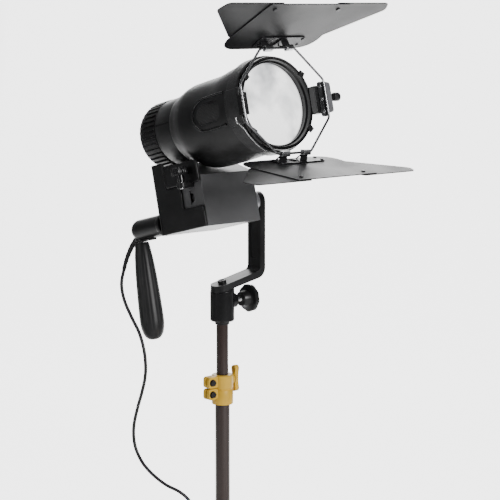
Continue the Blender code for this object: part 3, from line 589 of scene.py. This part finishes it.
def riser_lock():
    """Yellow collar in two clamped halves, with bolts in its ears and a winged knob."""
    turned("collar_barrel", [(0.0137, 0.4518), (0.0145, 0.4511), (0.0145, 0.4345), (0.0140, 0.4335), (0.0134, 0.4330),
                             (0.0134, 0.4320), (0.0140, 0.4315), (0.0145, 0.4305), (0.0145, 0.4130),
                             (0.0140, 0.4119), (0.0102, 0.4119), (0.0102, 0.4320), (0.0083, 0.4322),
                             (0.0083, 0.4518)], STAND, YELLOW, "column", ["riser_collar"], 80, True)
    ears = bmesh.new()
    upright = spin(90, "X")
    for low, high, root in ((0.4362, 0.4515, -0.0112), (0.4205, 0.4352, -0.0125)):
        line = rounded([(root, low), (root, high), (-0.0286, high), (-0.0286, low)], 0.0045, 5)
        for near, far in ((0.0008, 0.0062), (-0.0062, -0.0008)):
            add_plate(ears, line, near, far, upright)
    finished("collar_ears", ears, STAND, YELLOW, "column", (), 0.0007)
    disc_piece("collar_boss", 0.0068, 0.0105, 0.0180, 32, STAND @ shift(0, 0, COLLAR_Z) @ SIDEWAYS,
               YELLOW, "column")
    for tag, height in (("upper", 0.4438), ("lower", 0.4279)):
        bolt = bmesh.new()
        add_plate(bolt, arc(0, 0, 0.0043, 0, 300, 5), 0.0066, 0.0096)
        add_disc(bolt, (0, 0), 0.0048, 0.0062, 0.0069, 24)
        add_disc(bolt, (0, 0), 0.0021, -0.0088, 0.0066, 16)
        finished(f"ear_bolt_{tag}", bolt, STAND @ shift(-0.0225, 0, height) @ upright, HINGE,
                 "column", [f"collar_bolt_{tag}"], 0.0003)
    wing = bmesh.new()
    revolve(wing, [(0, 0.0215), (0.0050, 0.0213), (0.0064, 0.0204), (0.0068, 0.0187), (0.0062, 0.0183),
                   (0.0024, 0.0183), (0.0024, 0.0090), (0, 0.0090)], 40)
    blade = (arc(0, 0.0135, 0.0045, -12, 192, 14) + [(-0.0030, 0.0055), (-0.0030, -0.0055)]
             + arc(0, -0.0135, 0.0045, 168, 372, 14) + [(0.0030, -0.0055), (0.0030, 0.0055)])
    add_plate(wing, blade, 0.0192, 0.0263)
    finished("winged_knob", wing, STAND @ shift(0, 0, COLLAR_Z) @ FACE_ON, YELLOW, "riser_knob",
             ["riser_knob"], 0.0010)


# ---- Yoke ----

BAR_SLOPE = math.radians(11.5)
BAR_T = 0.0086
ARM_X = 0.061
BAR_TOP = 0.5760
TILTED_BAR = STAND @ shift(0, 0, BAR_TOP) @ Matrix.Rotation(-BAR_SLOPE, 4, "Y")


def yoke():
    rise = math.tan(BAR_SLOPE)
    thick = BAR_T / math.cos(BAR_SLOPE)
    inner = ARM_X - BAR_T / 2
    outer = ARM_X + BAR_T / 2
    arm_top = PIVOT.z + 0.013
    bend = arc(inner - 0.0070, BAR_TOP + rise * 0.0497 + 0.0080, 0.0070, -78.5, 0, 10)
    outer_bend = arc(outer - 0.0140, BAR_TOP + rise * 0.0513 - thick + 0.0143, 0.0140, 0, -78.5, 14)
    line = [(-0.0160, BAR_TOP - rise * 0.0160)] + bend + [(inner, arm_top), (outer, arm_top)]
    line += outer_bend + [(-0.0160, BAR_TOP - rise * 0.0160 - thick)]
    bm = bmesh.new()
    add_plate(bm, line, -0.013, 0.013, spin(90, "X"))
    bar = finished("flat_bar", bm, STAND, BLACK, "yoke", ["yoke_bar"])
    across_arm = Matrix.Translation(PIVOT) @ FACE_ON
    eye = [(0.013, -0.15), (0.013, 0)] + arc(0, 0, 0.013, 0, 180, 32)[1:-1] + [(-0.013, 0), (-0.013, -0.15)]
    cut_plate(bar, eye, -0.03, 0.09, across_arm, "INTERSECT")
    end = [(0.070, -0.0135), (0.070, 0.0135)] + arc(-0.0005, 0, 0.0152, 62.6, 297.4, 28)
    cut_plate(bar, end, 0.55, 0.70, STAND, "INTERSECT")
    groove = rounded([(-0.0085, -0.078), (0.0085, -0.078), (0.0085, -0.019), (-0.0085, -0.019)], 0.0084, 8)
    cut_plate(bar, groove, inner - 0.01, inner + 0.0009, across_arm)
    cut_bore(bar, 0.0043, 0.050, 0.070, Matrix.Translation(PIVOT) @ SIDEWAYS, 40)
    soften(bar, 0.0011)
    cup = turned("spigot_socket", [(0, 0.590), (0.0162, 0.590), (0.0162, 0.5262), (0.0150, 0.5248), (0.0100, 0.5246),
                                   (0.0098, 0.5240), (0.0098, 0.5206), (0.0094, 0.5203), (0.0083, 0.5203),
                                   (0.0083, 0.5600), (0, 0.5600)], STAND, GLOSSY, "yoke",
                 ["yoke_socket"], 80)
    cut_box(cup, (-0.05, -0.03, -BAR_T - 0.0003), (0.05, 0.03, 0.05), TILTED_BAR)
    soften(cup, 0.0008)
    place = STAND @ shift(0, 0, CLAMP_Z) @ SIDEWAYS
    disc_piece("knob_boss", 0.0100, 0.0110, 0.0222, 40, place, GLOSSY, "yoke")

    def lobed(radius, height, a):
        if radius < 0.0145 or height < 0.0430:
            return radius
        return radius - 0.0008 * (0.5 - 0.5 * math.cos(9 * a)) ** 1.5

    turned("lobed_knob", [(0, 0.0508), (0.0060, 0.0508), (0.0070, 0.0517), (0.0150, 0.0519), (0.0178, 0.0510),
                          (0.0189, 0.0495), (0.0189, 0.0455), (0.0178, 0.0442), (0.0130, 0.0436),
                          (0.0110, 0.0420), (0.0098, 0.0330), (0.0092, 0.0322), (0.0034, 0.0322),
                          (0.0034, 0.0408), (0, 0.0408)], place, MOULDED, "clamp_knob",
           ["clamp_knob"], 144, False, lobed)
    rows = [(0, 0.0400), (0.0029, 0.0400)]
    for turn in range(30):
        rows += [(0.0031, 0.0395 - 0.0010 * turn), (0.0027, 0.0390 - 0.0010 * turn)]
    rows += [(0, 0.0090)]
    turned("bright_screw", rows, place, STEEL, "clamp_knob", ["clamp_screw"], 32, False, None, 60)
    turned("centre_bolt", [(0, 0.0014), (0.0030, 0.0014), (0.0032, 0.0039), (0.0052, 0.0040), (0.0058, 0.0034),
                           (0.0058, 0.0003), (0.0031, 0.0003), (0.0031, -0.0145), (0, -0.0145)], TILTED_BAR, BLACK,
           "yoke", ["yoke_bolt"], 40)


# ---- Control box ----

TURNED_BACK = spin(-90, "X")


def across(bm, outline, low, high):
    """Plate given by (forward, up) points, standing across X."""
    add_plate(bm, [(-f, u) for f, u in outline], low, high, FACE_ON)


def cut_across(made, outline, low, high):
    shape = bmesh.new()
    across(shape, outline, low, high)
    carve(made, shape, HEAD)


def control_box():
    bm = bmesh.new()
    line = [(-0.0762, -0.0277), (0.0198, -0.0277), (0.0198, 0.0397), (-0.0197, 0.0588), (-0.0762, 0.0588)]
    across(bm, line, -0.045, 0.045)
    shell = finished("box_skin", bm, HEAD, GREY, "head", ["box_shell"])
    cut_across(shell, [(-0.0800, -0.0262), (0.0183, -0.0262), (0.0183, 0.0387), (-0.0200, 0.0573),
                       (-0.0800, 0.0573)], -0.0435, 0.0435)
    cut_across(shell, [(-0.0082, 0.0038), (-0.0057, 0.0038), (-0.0057, 0.0072)]
               + arc(-0.0052, 0.0128, 0.0060, -90, 90, 24)
               + [(-0.0057, 0.0184), (-0.0057, 0.0228), (-0.0082, 0.0228)], -0.060, -0.040)
    cut_bore(shell, 0.0043, 0.040, 0.050, HEAD @ SIDEWAYS)
    cut_bore(shell, 0.0080, 0.050, 0.066, HEAD @ shift(0.005, 0.045, 0))
    cut_box(shell, (-0.046, -0.0202, 0.0380), (0.046, -0.0193, 0.0387), HEAD)
    soften(shell, 0.0009)
    dress("box_cover", GREY)
    dress("driver_board", BOARD)

    def knurled(radius, height, a):
        return radius - (0.0004 * (0.5 - 0.5 * math.cos(36 * a)) if 0.0095 < height < 0.0164 and radius > 0.008 else 0)

    turned("dimmer_wheel_rim", [(0, 0.0170), (0.0072, 0.0170), (0.0080, 0.0164), (0.0082, 0.0161), (0.0082, 0.0097),
                                (0.0080, 0.0094), (0.0072, 0.0088), (0.0028, 0.0088), (0.0028, 0.0055), (0, 0.0055)],
           HEAD @ shift(-0.0350, 0.0035, 0), MOULDED, "dimmer", ["dimmer_wheel"],
           144, False, knurled)
    moulding = bmesh.new()
    across(moulding, rounded([(-0.0740, -0.0277), (0.0195, -0.0277), (0.0195, 0.0007), (-0.0217, 0.0007),
                              (-0.0217, 0.0315), (-0.0515, 0.0315), (-0.0515, 0.0675), (-0.0740, 0.0675)],
                             0.0040, 5), -0.0488, -0.0453)
    finished("side_cover", moulding, HEAD, MOULDED, "head", ["side_moulding"], 0.0016)
    corner = bmesh.new()
    plan = arc(-0.0418, 0.0725, 0.0070, 90, 180, 12) + [(-0.0488, 0.0700), (-0.0453, 0.0700)]
    plan += arc(-0.0418, 0.0725, 0.0035, 180, 90, 10)
    add_plate(corner, plan, -0.0277, 0.0675)
    add_box(corner, (-0.0419, 0.0766, -0.0277), (-0.0120, 0.0795, 0.0595))
    finished("side_cover_return", corner, HEAD, MOULDED, "head", (), 0.0008)
    saddle()
    pivot()


def saddle():
    bm = bmesh.new()
    across(bm, rounded([(-0.0512, 0.0607), (-0.0512, 0.0318), (0.0195, 0.0318), (0.0195, 0.0607)], 0.0045, 6),
           -0.0493, -0.0453)
    finished("saddle_block", bm, HEAD, MOULDED, "head", ["saddle_clamp"], 0.0018)
    box_piece("saddle_strip", (-0.0470, 0.0230, 0.0591), (0.0440, 0.0500, 0.0606), HEAD, BLACK, "head",
              (), 0.0004)
    place = HEAD @ shift(-0.0610, 0.0019, 0)
    line = arc(-0.0610, 0.0019, 0.0064, 90, 270, 16) + [(-0.0453, -0.0045), (-0.0453, 0.0083)]
    lug = plate_piece("screw_lug", line, 0.0262, 0.0335, HEAD, BLACK, "head", "black_cast")
    cut_bore(lug, 0.0033, 0.020, 0.045, place)
    soften(lug, 0.0009)

    def fluted(radius, height, a):
        if radius < 0.0100 or not 0.0440 < height < 0.0530:
            return radius
        return radius - 0.0008 * (0.5 - 0.5 * math.cos(18 * a)) ** 2

    turned("screw_head", [(0, 0.0536), (0.0060, 0.0537), (0.0092, 0.0534), (0.0108, 0.0526), (0.0112, 0.0516),
                          (0.0112, 0.0452), (0.0108, 0.0441), (0.0096, 0.0434), (0.0048, 0.0433),
                          (0.0048, 0.0340), (0, 0.0340)], place, GLOSSY, "saddle_screw",
           ["saddle_screw"], 144, False, fluted)
    turned("screw_shank", [(0, 0.0345), (0.0030, 0.0345), (0.0030, 0.0256), (0.0025, 0.0250), (0, 0.0250)], place,
           STEEL, "saddle_screw", (), 32)


def pivot():
    turned("pivot_bolt", [(0, 0.0644), (0.0034, 0.0644), (0.0040, 0.0638), (0.0040, 0.0432), (0.0078, 0.0430),
                          (0.0078, 0.0392), (0, 0.0392)], HEAD @ SIDEWAYS, ZINC, "head",
           ["tilt_bolt"], 40)
    turned("pivot_washer", [(0.0125, 0.0564), (0.0137, 0.0556), (0.0140, 0.0545), (0.0140, 0.0460), (0.0136, 0.0453),
                            (0.0043, 0.0453), (0.0043, 0.0564)], HEAD @ SIDEWAYS, ZINC, "head",
           ["tilt_washer"], 56, True)


def handle():
    arm = HEAD @ shift(HANDLE_X, 0, -0.0117) @ TURNED_BACK
    turned("handle_stem", [(0, 0.0798), (0.0148, 0.0798), (0.0156, 0.0806), (0.0158, 0.0846), (0.0154, 0.0858),
                           (0.0146, 0.0866), (0.0144, 0.0885), (0.0145, 0.1362), (0.0142, 0.1392),
                           (0.0134, 0.1418), (0.0121, 0.1443), (0.0103, 0.1465), (0.0081, 0.1483),
                           (0.0055, 0.1498), (0.0028, 0.1505), (0, 0.1507)], arm, MOULDED, "head",
           ["handle_arm"], 80)
    disc_piece("handle_neck", 0.0095, -0.0279, -0.0100, 48, HEAD @ shift(HANDLE_X, 0.1390, 0),
               MOULDED, "head")
    box_piece("handle_tab", (-0.004, 0.1110, -0.0285), (0.004, 0.1210, -0.0200),
              HEAD @ shift(HANDLE_X, 0, 0), MOULDED, "head", (), 0.0012)

    def ridged(radius, height, a):
        if radius < 0.0118:
            return radius
        return radius - 0.0004 * (0.5 - 0.5 * math.cos(10 * a)) ** 4

    outline = [(0, 0), (0.0088, -0.0002), (0.0096, -0.0015), (0.0101, -0.0040), (0.0108, -0.0090),
               (0.0120, -0.0170), (0.0132, -0.0290), (0.0142, -0.0420), (0.0151, -0.0580), (0.0158, -0.0750),
               (0.0163, -0.0900), (0.0166, -0.1020), (0.0166, -0.1080), (0.0164, -0.1130), (0.0155, -0.1190),
               (0.0140, -0.1250), (0.0115, -0.1295), (0.0085, -0.1325), (0.0045, -0.1341), (0, -0.1345)]
    turned("grip", outline, HEAD @ shift(HANDLE_X, 0.1407, -0.0282)
           @ spin(2.6, "X"), GRIP, "head", ["handle_grip"], 120, False,
           ridged, 45)


# ---- Barrel ----

BADGE_F = 0.0690
BADGE_AXIS = OPTIC @ shift(0, -0.0025, 0)

# Radius, distance forward and drop of each ring of the housing, which bellies downwards behind its collar.
HOUSING = [
    (0.0606, 0.1318, 0), (0.0618, 0.1318, 0), (0.0623, 0.1312, 0), (0.0624, 0.1300, 0), (0.0624, 0.1110, 0),
    (0.0620, 0.1104, 0), (0.0600, 0.1100, 0), (0.0596, 0.1094, 0), (0.0595, 0.1020, 0), (0.0594, 0.0950, 0.0002),
    (0.0591, 0.0870, 0.0008), (0.0588, 0.0800, 0.0014), (0.0584, 0.0730, 0.0022), (0.0581, 0.0660, 0.0028),
    (0.0579, 0.0590, 0.0032), (0.0578, 0.0520, 0.0035), (0.0578, 0.0250, 0.0035), (0.0576, 0.0150, 0.0034),
    (0.0572, 0.0070, 0.0030), (0.0565, 0.0035, 0.0026), (0.0555, 0.0000, 0.0022), (0.0540, -0.0050, 0.0014),
    (0.0518, -0.0102, 0.0008), (0.0502, -0.0150, 0.0004), (0.0487, -0.0202, 0), (0.0474, -0.0250, 0),
    (0.0468, -0.0259, 0), (0.0446, -0.0259, 0), (0.0446, -0.0195, 0), (0.0480, -0.0120, 0.0005),
    (0.0515, -0.0030, 0.0015), (0.0540, 0.0080, 0.0030), (0.0546, 0.0250, 0.0035), (0.0546, 0.0520, 0.0035),
    (0.0546, 0.0660, 0.0028), (0.0548, 0.0800, 0.0014), (0.0550, 0.0950, 0.0002), (0.0550, 0.1112, 0),
    (0.0606, 0.1112, 0),
]


def ringed(name, rows, steps, place, finish, body, nodes):
    """Closed shell of rings whose centres may sit below the axis."""
    bm = bmesh.new()
    rings = []
    for radius, height, drop in rows:
        ring = []
        for step in range(steps):
            a = 2 * math.pi * step / steps
            ring.append(bm.verts.new((radius * math.cos(a), radius * math.sin(a) - drop, height)))
        rings.append(ring)
    for first, second in zip(rings, rings[1:] + rings[:1]):
        for step in range(steps):
            after = (step + 1) % steps
            bm.faces.new((first[step], second[step], second[after], first[after]))
    return finished(name, bm, place, finish, body, nodes)


def barrel():
    shell = ringed("housing", HOUSING, 160, OPTIC, BARREL, "head", ["front_housing"])
    recess = turned("recess", [(0.0640, 0.1060), (0.0640, 0.0300), (0.0568, 0.0300), (0.0568, 0.1060)],
                    BADGE_AXIS, BARREL, "head", (), 160, True)
    at_badge = DOORS @ shift(0, -BADGE_F, 0) @ FACE_ON
    cut_plate(recess, pill(0.0133), -0.0800, -0.0300, at_badge, "INTERSECT")
    pocket = bmesh.new()
    pocket.from_mesh(recess.data)
    bpy.data.objects.remove(recess)
    carve(shell, pocket, WORLD)

    band = [(0.0622, 0.1304), (0.0628, 0.1300)] + [(0.0629, 0.1295 - 0.0010 * k) for k in range(18)]
    band += [(0.0628, 0.1112), (0.0620, 0.1108)]
    turned("textured_band", band, OPTIC, BAND, "head", (), 240, True)
    pad = turned("side_pad", [(0.0652, 0.1400), (0.0658, 0.1392), (0.0658, 0.1130), (0.0650, 0.1120), (0.0632, 0.1120),
                              (0.0632, 0.1400)], OPTIC, BAND, "door_ring", (), 240, True)
    cut_box(pad, (-0.080, -0.160, -0.0240), (-0.040, -0.090, 0.0225), DOORS, "INTERSECT")
    soften(pad, 0.0008)
    ridge_path = []
    for f, u in ridge_line():
        taper = max(0.0, min(1.0, (f - 0.055) / 0.040))
        drop = 0.0035 - 0.0035 * taper
        radius = 0.0578 + 0.0016 * taper
        ridge_path.append(DOORS @ Vector((-math.sqrt(radius ** 2 - (u + drop) ** 2), -f, u)))
    swept("badge_ridge", ridge_path, [0.0016] * len(ridge_path), GLOSSY, "head", (), 16)

    def ribbed(radius, height, a):
        return radius - (0.0005 * (0.5 - 0.5 * math.cos(200 * a)) if radius > 0.0575 else 0)

    badge = turned("badge_pad", [(0.0578, 0.1000 - 0.0040 * k) for k in range(16)]
                   + [(0.0571, 0.0400), (0.0571, 0.1000)], BADGE_AXIS, MOULDED, "head",
                   ["badge_insert"], 800, True, ribbed, 20)
    cut_plate(badge, pill(0.0130), -0.0800, -0.0300, at_badge, "INTERSECT")
    tube = turned("rear_tube", [(0.0428, -0.0180), (0.0442, -0.0180), (0.0442, -0.0262), (0.0453, -0.0262),
                                (0.0456, -0.0266), (0.0456, -0.0587), (0.0452, -0.0595), (0.0440, -0.0599),
                                (0.0428, -0.0580)], OPTIC, BARREL, "head", ["rear_barrel"], 144, True)
    cut_box(tube, (-0.0470, 0.0290, 0.0096), (-0.0430, 0.0570, 0.0108), DOORS)

    def slotted(radius, height, a):
        if radius < 0.0448 or height > -0.0612:
            return radius
        return radius - (0.0026 if math.cos(40 * a) < -0.05 else 0)

    turned("focus_grip", [(0.0430, -0.0610), (0.0450, -0.0604), (0.0457, -0.0608), (0.0461, -0.0618),
                          (0.0462, -0.0634), (0.0462, -0.0880), (0.0459, -0.0900), (0.0450, -0.0914),
                          (0.0430, -0.0915)], OPTIC, BARREL, "focus_ring", ["focus_ring"], 400,
           True, slotted)

    def vented(radius, height, a):
        return radius - (0.0022 if radius > 0.0425 and math.cos(40 * a) < -0.05 else 0)

    turned("rear_vent", [(0, -0.0880), (0.0410, -0.0880), (0.0410, -0.0918), (0.0440, -0.0918), (0.0443, -0.0922),
                         (0.0444, -0.0938), (0.0438, -0.0955), (0.0424, -0.0970), (0.0400, -0.0972),
                         (0.0398, -0.0962), (0.0330, -0.0962), (0.0328, -0.0972), (0.0300, -0.0972),
                         (0.0298, -0.0962), (0.0230, -0.0962), (0.0228, -0.0972), (0.0200, -0.0972),
                         (0.0198, -0.0962), (0.0130, -0.0962), (0.0128, -0.0972), (0, -0.0972)],
           OPTIC, BARREL, "head", ["rear_grille"], 400, False, vented)
    dress("heat_sink", ALLOY)
    dress("led_module", ALLOY)


def pill(radius):
    """Outline of the badge's oval."""
    return arc(0.0120, 0.0030, radius, -90, 90, 20) + arc(-0.0120, 0.0030, radius, 90, 270, 20)


def ridge_line():
    """U-shaped ridge round the badge, open towards the lens."""
    line = [(0.1010, 0.0232), (0.0930, 0.0238), (0.0830, 0.0240), (0.0730, 0.0240)]
    line += arc(0.0585, 0.0030, 0.0210, 90, 270, 20)
    line += [(0.0730, -0.0180), (0.0830, -0.0180), (0.0930, -0.0178), (0.1010, -0.0172)]
    return [(p.x, p.y) for p in smooth_path([Vector((f, u)) for f, u in line], 3)]


def bezel():
    turned("bezel", [(0.0588, 0.1398), (0.0598, 0.1393), (0.0602, 0.1383), (0.0602, 0.1320), (0.0594, 0.1316),
                     (0.0594, 0.1306), (0.0600, 0.1302), (0.0600, 0.1115), (0.0572, 0.1115), (0.0572, 0.1182),
                     (0.0552, 0.1182), (0.0552, 0.1311), (0.0531, 0.1311), (0.0531, 0.1330), (0.0537, 0.1336),
                     (0.0552, 0.1350), (0.0556, 0.1372), (0.0560, 0.1390), (0.0566, 0.1396), (0.0576, 0.1390)],
           OPTIC, GLOSSY, "door_ring", ["bezel_ring"], 176, True)
    turned("condenser_lens", [(0, 0.1298), (0.0100, 0.1297), (0.0200, 0.1292), (0.0300, 0.1284), (0.0380, 0.1274),
                              (0.0450, 0.1263), (0.0500, 0.1252), (0.0549, 0.1240), (0.0549, 0.1213), (0, 0.1213)],
           OPTIC, LENS_PAINTED_GLOW, "door_ring", ["lens"], 128)
    dress("lens_retainer", STEEL)
    tabs = bmesh.new()
    for x, u in ((0.0470, 0.0350), (0.0480, -0.0350), (-0.0470, 0.0350), (-0.0480, -0.0350)):
        tilt = Matrix.Rotation(math.atan2(u, x), 4, "Y")
        add_box_at(tabs, (x, -0.1402, u), (0.0040, 0.0012, 0.0042), tilt)
    finished("bezel_tabs", tabs, DOORS, BLACK, "door_ring", (), 0.0004)


def add_box_at(bm, centre, half, turn):
    verts = add_box(bm, [-h for h in half], half)
    bmesh.ops.transform(bm, matrix=Matrix.Translation(centre) @ turn, verts=verts)


# ---- Door frame and doors ----

def door_frame():
    corners = [(0.0285, 0.0670), (0.0706, 0.0245), (0.0706, -0.0245), (0.0285, -0.0670),
               (-0.0285, -0.0670), (-0.0706, -0.0245), (-0.0706, 0.0245), (-0.0285, 0.0670)]
    loop = rounded(corners, 0.0045, 6)
    wire("frame_wire", [(x, -FRAME_F, u) for x, u in loop], 0.0015, WIRE, "door_ring",
         ["door_frame"], DOORS, True)
    box_piece("latch_block", (0.0560, -0.1500, -0.0180), (0.0690, -0.1401, 0.0180), DOORS, BLACK, "door_ring",
              ["frame_latch"], 0.0008)
    ribs = bmesh.new()
    for k in range(9):
        add_box(ribs, (0.0575, -0.1508, -0.0168 + 0.0040 * k), (0.0618, -0.1498, -0.0148 + 0.0040 * k))
    finished("latch_ribs", ribs, DOORS, BLACK, "door_ring", (), 0.0003)
    facing = DOORS @ spin(90, "X")
    strap = rounded([(0.0620, -0.0225), (0.0725, -0.0225), (0.0725, 0.0225), (0.0620, 0.0225)], 0.003, 4)
    plate_piece("latch_strap", strap, 0.1500, 0.1518, facing, HINGE, "door_ring", "black_cast", (), 0.0003)
    rivets = bmesh.new()
    for u in (-0.0165, 0.0, 0.0165):
        add_disc(rivets, (0.0655, u), 0.0021, 0.1512, 0.1525, 24)
    finished("latch_rivets", rivets, facing, STEEL, "door_ring")
    pale = rounded([(0.0700, -0.0190), (0.0860, -0.0165), (0.0860, 0.0215), (0.0700, 0.0240)], 0.0035, 5)
    plate_piece("latch_pale_plate", pale, 0.1480, 0.1496, facing, PLATE, "door_ring", "bright_steel", (), 0.0004)

    def knurled(radius, height, a):
        return radius - (0.0004 * (0.5 - 0.5 * math.cos(24 * a)) if radius > 0.0053 else 0)

    turned("latch_thumb_knob", [(0, 0.0978), (0.0040, 0.0980), (0.0050, 0.0978), (0.0056, 0.0970), (0.0056, 0.0895),
                                (0.0050, 0.0884), (0.0035, 0.0880), (0.0035, 0.0866), (0, 0.0866)],
           DOORS @ shift(0, -0.1489, 0.0025) @ SIDEWAYS, HINGE, "latch_knob",
           ["latch_knob"], 96, False, knurled)
    clip = bmesh.new()
    add_box(clip, (-0.0680, -0.1500, -0.0140), (-0.0590, -0.1403, 0.0140))
    add_box(clip, (-0.0690, -0.1528, -0.0138), (-0.0650, -0.1480, 0.0138))
    add_box(clip, (-0.0745, -0.1522, 0.0100), (-0.0640, -0.1500, 0.0138))
    finished("side_clip", clip, DOORS, BLACK, "door_ring", ["frame_clip"], 0.0006)
    spring = smooth_path([Vector(p) for p in ((-0.0700, 0.1352, -0.0150), (-0.0688, 0.1350, -0.0212),
                                               (-0.0655, 0.1350, -0.0238), (-0.0590, 0.1350, -0.0295),
                                               (-0.0520, 0.1350, -0.0392), (-0.0420, 0.1350, -0.0500),
                                               (-0.0330, 0.1350, -0.0568), (-0.0250, 0.1350, -0.0607))], 8)
    wire("retaining_spring", [(p.x, -p.y, p.z) for p in spring], 0.0008, STEEL, "door_ring", (),
         DOORS)


LEAF = [(-0.0500, -0.0220), (0.0500, -0.0220), (0.0590, -0.0213), (0.0650, -0.0190), (0.0710, -0.0150),
        (0.0752, -0.0090), (0.0775, -0.0010), (0.0775, 0.0080), (0.0672, 0.0815), (0.0655, 0.0840),
        (-0.0655, 0.0840), (-0.0672, 0.0815), (-0.0775, 0.0080), (-0.0775, -0.0010), (-0.0752, -0.0090),
        (-0.0710, -0.0150), (-0.0650, -0.0190), (-0.0590, -0.0213)]
WING = [(0.0770, 0.0040), (0.1422, 0.0680), (0.1342, 0.0840), (0.0430, 0.0840), (0.0430, 0.0600),
        (0.0660, 0.0080)]


def door(name, up, place):
    """One barn door: leaf, its two folding wings and the hinge that grips the wire."""
    def layer(start, stop):
        return sorted((up * start, up * stop))

    plate = plate_piece(f"{name}_leaf_sheet", rounded([(x, -d) for x, d in LEAF], 0.0025, 3),
                        *layer(0.0120, 0.0132), place, DOOR, f"{name}_door", "door_black", [f"{name}_leaf"])
    for hand in (-1, 1):
        cut_plate(plate, arc(hand * 0.0530, -0.0720, 0.0025, 0, 345, 23), *layer(0.005, 0.020), place)
    soften(plate, 0.0003)
    for tag, hand in (("right", 1), ("left", -1)):
        plate_piece(f"{name}_wing_sheet_{tag}", rounded([(hand * x, -d) for x, d in WING], 0.0060, 6),
                    *layer(0.0135, 0.0147), place, DOOR, f"{name}_wing_{tag}", "door_black",
                    [f"{name}_wing_{tag}"], 0.0003)
        rivet = bmesh.new()
        revolve(rivet, [(0, 0.0158), (0.0012, 0.0157), (0.0023, 0.0153), (0.0030, 0.0147), (0.0022, 0.0146),
                        (0.0022, 0.0112), (0.0030, 0.0111), (0.0029, 0.0106), (0, 0.0105)], 32)
        for vert in rivet.verts:
            vert.co.z *= up
        finished(f"{name}_wing_rivet_{tag}", rivet, place @ shift(hand * 0.0530, -0.0720, 0),
                 HINGE, f"{name}_wing_{tag}")
    strap = rounded([(-0.0270, 0.0155), (-0.0270, -0.0060), (-0.0200, -0.0080), (0.0430, -0.0080),
                     (0.0500, -0.0060), (0.0500, 0.0155)], 0.0025, 4)
    base = plate_piece(f"{name}_hinge_strap", strap, *layer(0.0103, 0.0117), place, HINGE, f"{name}_door",
                       "bright_steel", [f"{name}_hinge"])
    window = rounded([(-0.0045, -0.0045), (0.0100, -0.0045), (0.0075, 0.0110), (-0.0020, 0.0110)], 0.002, 3)
    cut_plate(base, window, *layer(0.005, 0.020), place)
    soften(base, 0.0003)
    for tag, x_low, x_high in (("left", -0.0220, -0.0090), ("right", 0.0140, 0.0260)):
        low, high = layer(0.0028, 0.0106)
        box_piece(f"{name}_hinge_leg_{tag}", (x_low, 0.0020, low), (x_high, 0.0033, high), place, HINGE,
                  f"{name}_door", (), 0.0003)
        clip = bmesh.new()
        profile = rounded([(-0.0036, -0.0034), (0.0036, -0.0034), (0.0036, 0.0034), (-0.0036, 0.0034)], 0.0016, 4)
        add_plate(clip, profile, x_low, x_high, FACE_ON)
        sleeve = finished(f"{name}_hinge_clip_{tag}", clip, place, STEEL, f"{name}_door")
        bore = bmesh.new()
        add_plate(bore, arc(0, 0, 0.0018, 0, 345, 23), x_low - 0.01, x_high + 0.01, FACE_ON)
        carve(sleeve, bore, place)
        soften(sleeve, 0.0003)
    heads = bmesh.new()
    for x, y in ((-0.0235, 0.0100), (0.0465, 0.0100), (-0.0235, -0.0030), (0.0465, -0.0030)):
        add_disc(heads, (x, y), 0.0022, *layer(0.0092, 0.0104), 20)
    finished(f"{name}_hinge_rivets", heads, place, HINGE, f"{name}_door")
    stays = bmesh.new()
    foot, top = up * 0.0030, up * 0.0104
    for x in (-0.0155, 0.0200):
        for left in (x - 0.0044, x + 0.0036):
            add_plate(stays, [(0.0046, foot), (0.0130, top), (0.0112, top), (0.0034, foot + up * 0.0012)],
                      left, left + 0.0012, FACE_ON)
    finished(f"{name}_hinge_stays", stays, place, HINGE, f"{name}_door")


# ---- Room ----

def studio():
    heading = Matrix.Rotation(AZIMUTH, 4, "Z")
    line = [(-4.0, 0.0), (2.0, 0.0)]
    line += [(2.0 + 1.6 * math.sin(math.radians(a)), 1.6 - 1.6 * math.cos(math.radians(a))) for a in range(6, 91, 6)]
    line += [(3.6, 5.0)]
    bm = bmesh.new()
    rows = [[bm.verts.new(heading @ Vector((x, y, z))) for x in (-5.0, 5.0)] for y, z in line]
    for first, second in zip(rows, rows[1:]):
        bm.faces.new((first[0], first[1], second[1], second[0]))
    mesh = bpy.data.meshes.new("floor_and_backdrop")
    bm.to_mesh(mesh)
    bm.free()
    mesh.shade_smooth()
    mesh.materials.append(BACKDROP)
    sweep = linked(bpy.data.objects.new("floor_and_backdrop", mesh))
    world = bpy.data.worlds.new("studio")
    world.use_nodes = True
    world.node_tree.nodes["Background"].inputs["Color"].default_value = (0.95, 0.97, 1.0, 1.0)
    world.node_tree.nodes["Background"].inputs["Strength"].default_value = 0.12
    bpy.context.scene.world = world
    for name, place, width, height, power in (
            ("key", (1.50, -1.70, 1.40), 0.8, 0.8, 62.0),
            ("top", (-0.10, 0.15, 1.90), 0.45, 1.0, 15.0),
            ("side", (-1.50, -0.90, 1.10), 0.20, 1.3, 7.0)):
        lamp = bpy.data.lights.new(name, "AREA")
        lamp.shape = "RECTANGLE"
        lamp.size = width
        lamp.size_y = height
        lamp.energy = power
        made = linked(bpy.data.objects.new(name, lamp))
        made.location = heading @ Vector(place)
        made.rotation_euler = (TARGET - made.location).to_track_quat("-Z", "Y").to_euler()


camera()
power_lead()
stand()
yoke()
control_box()
handle()
barrel()
bezel()
door_frame()
door("top", 1, TOP_DOOR)
door("bottom", -1, BOTTOM_DOOR)
studio()
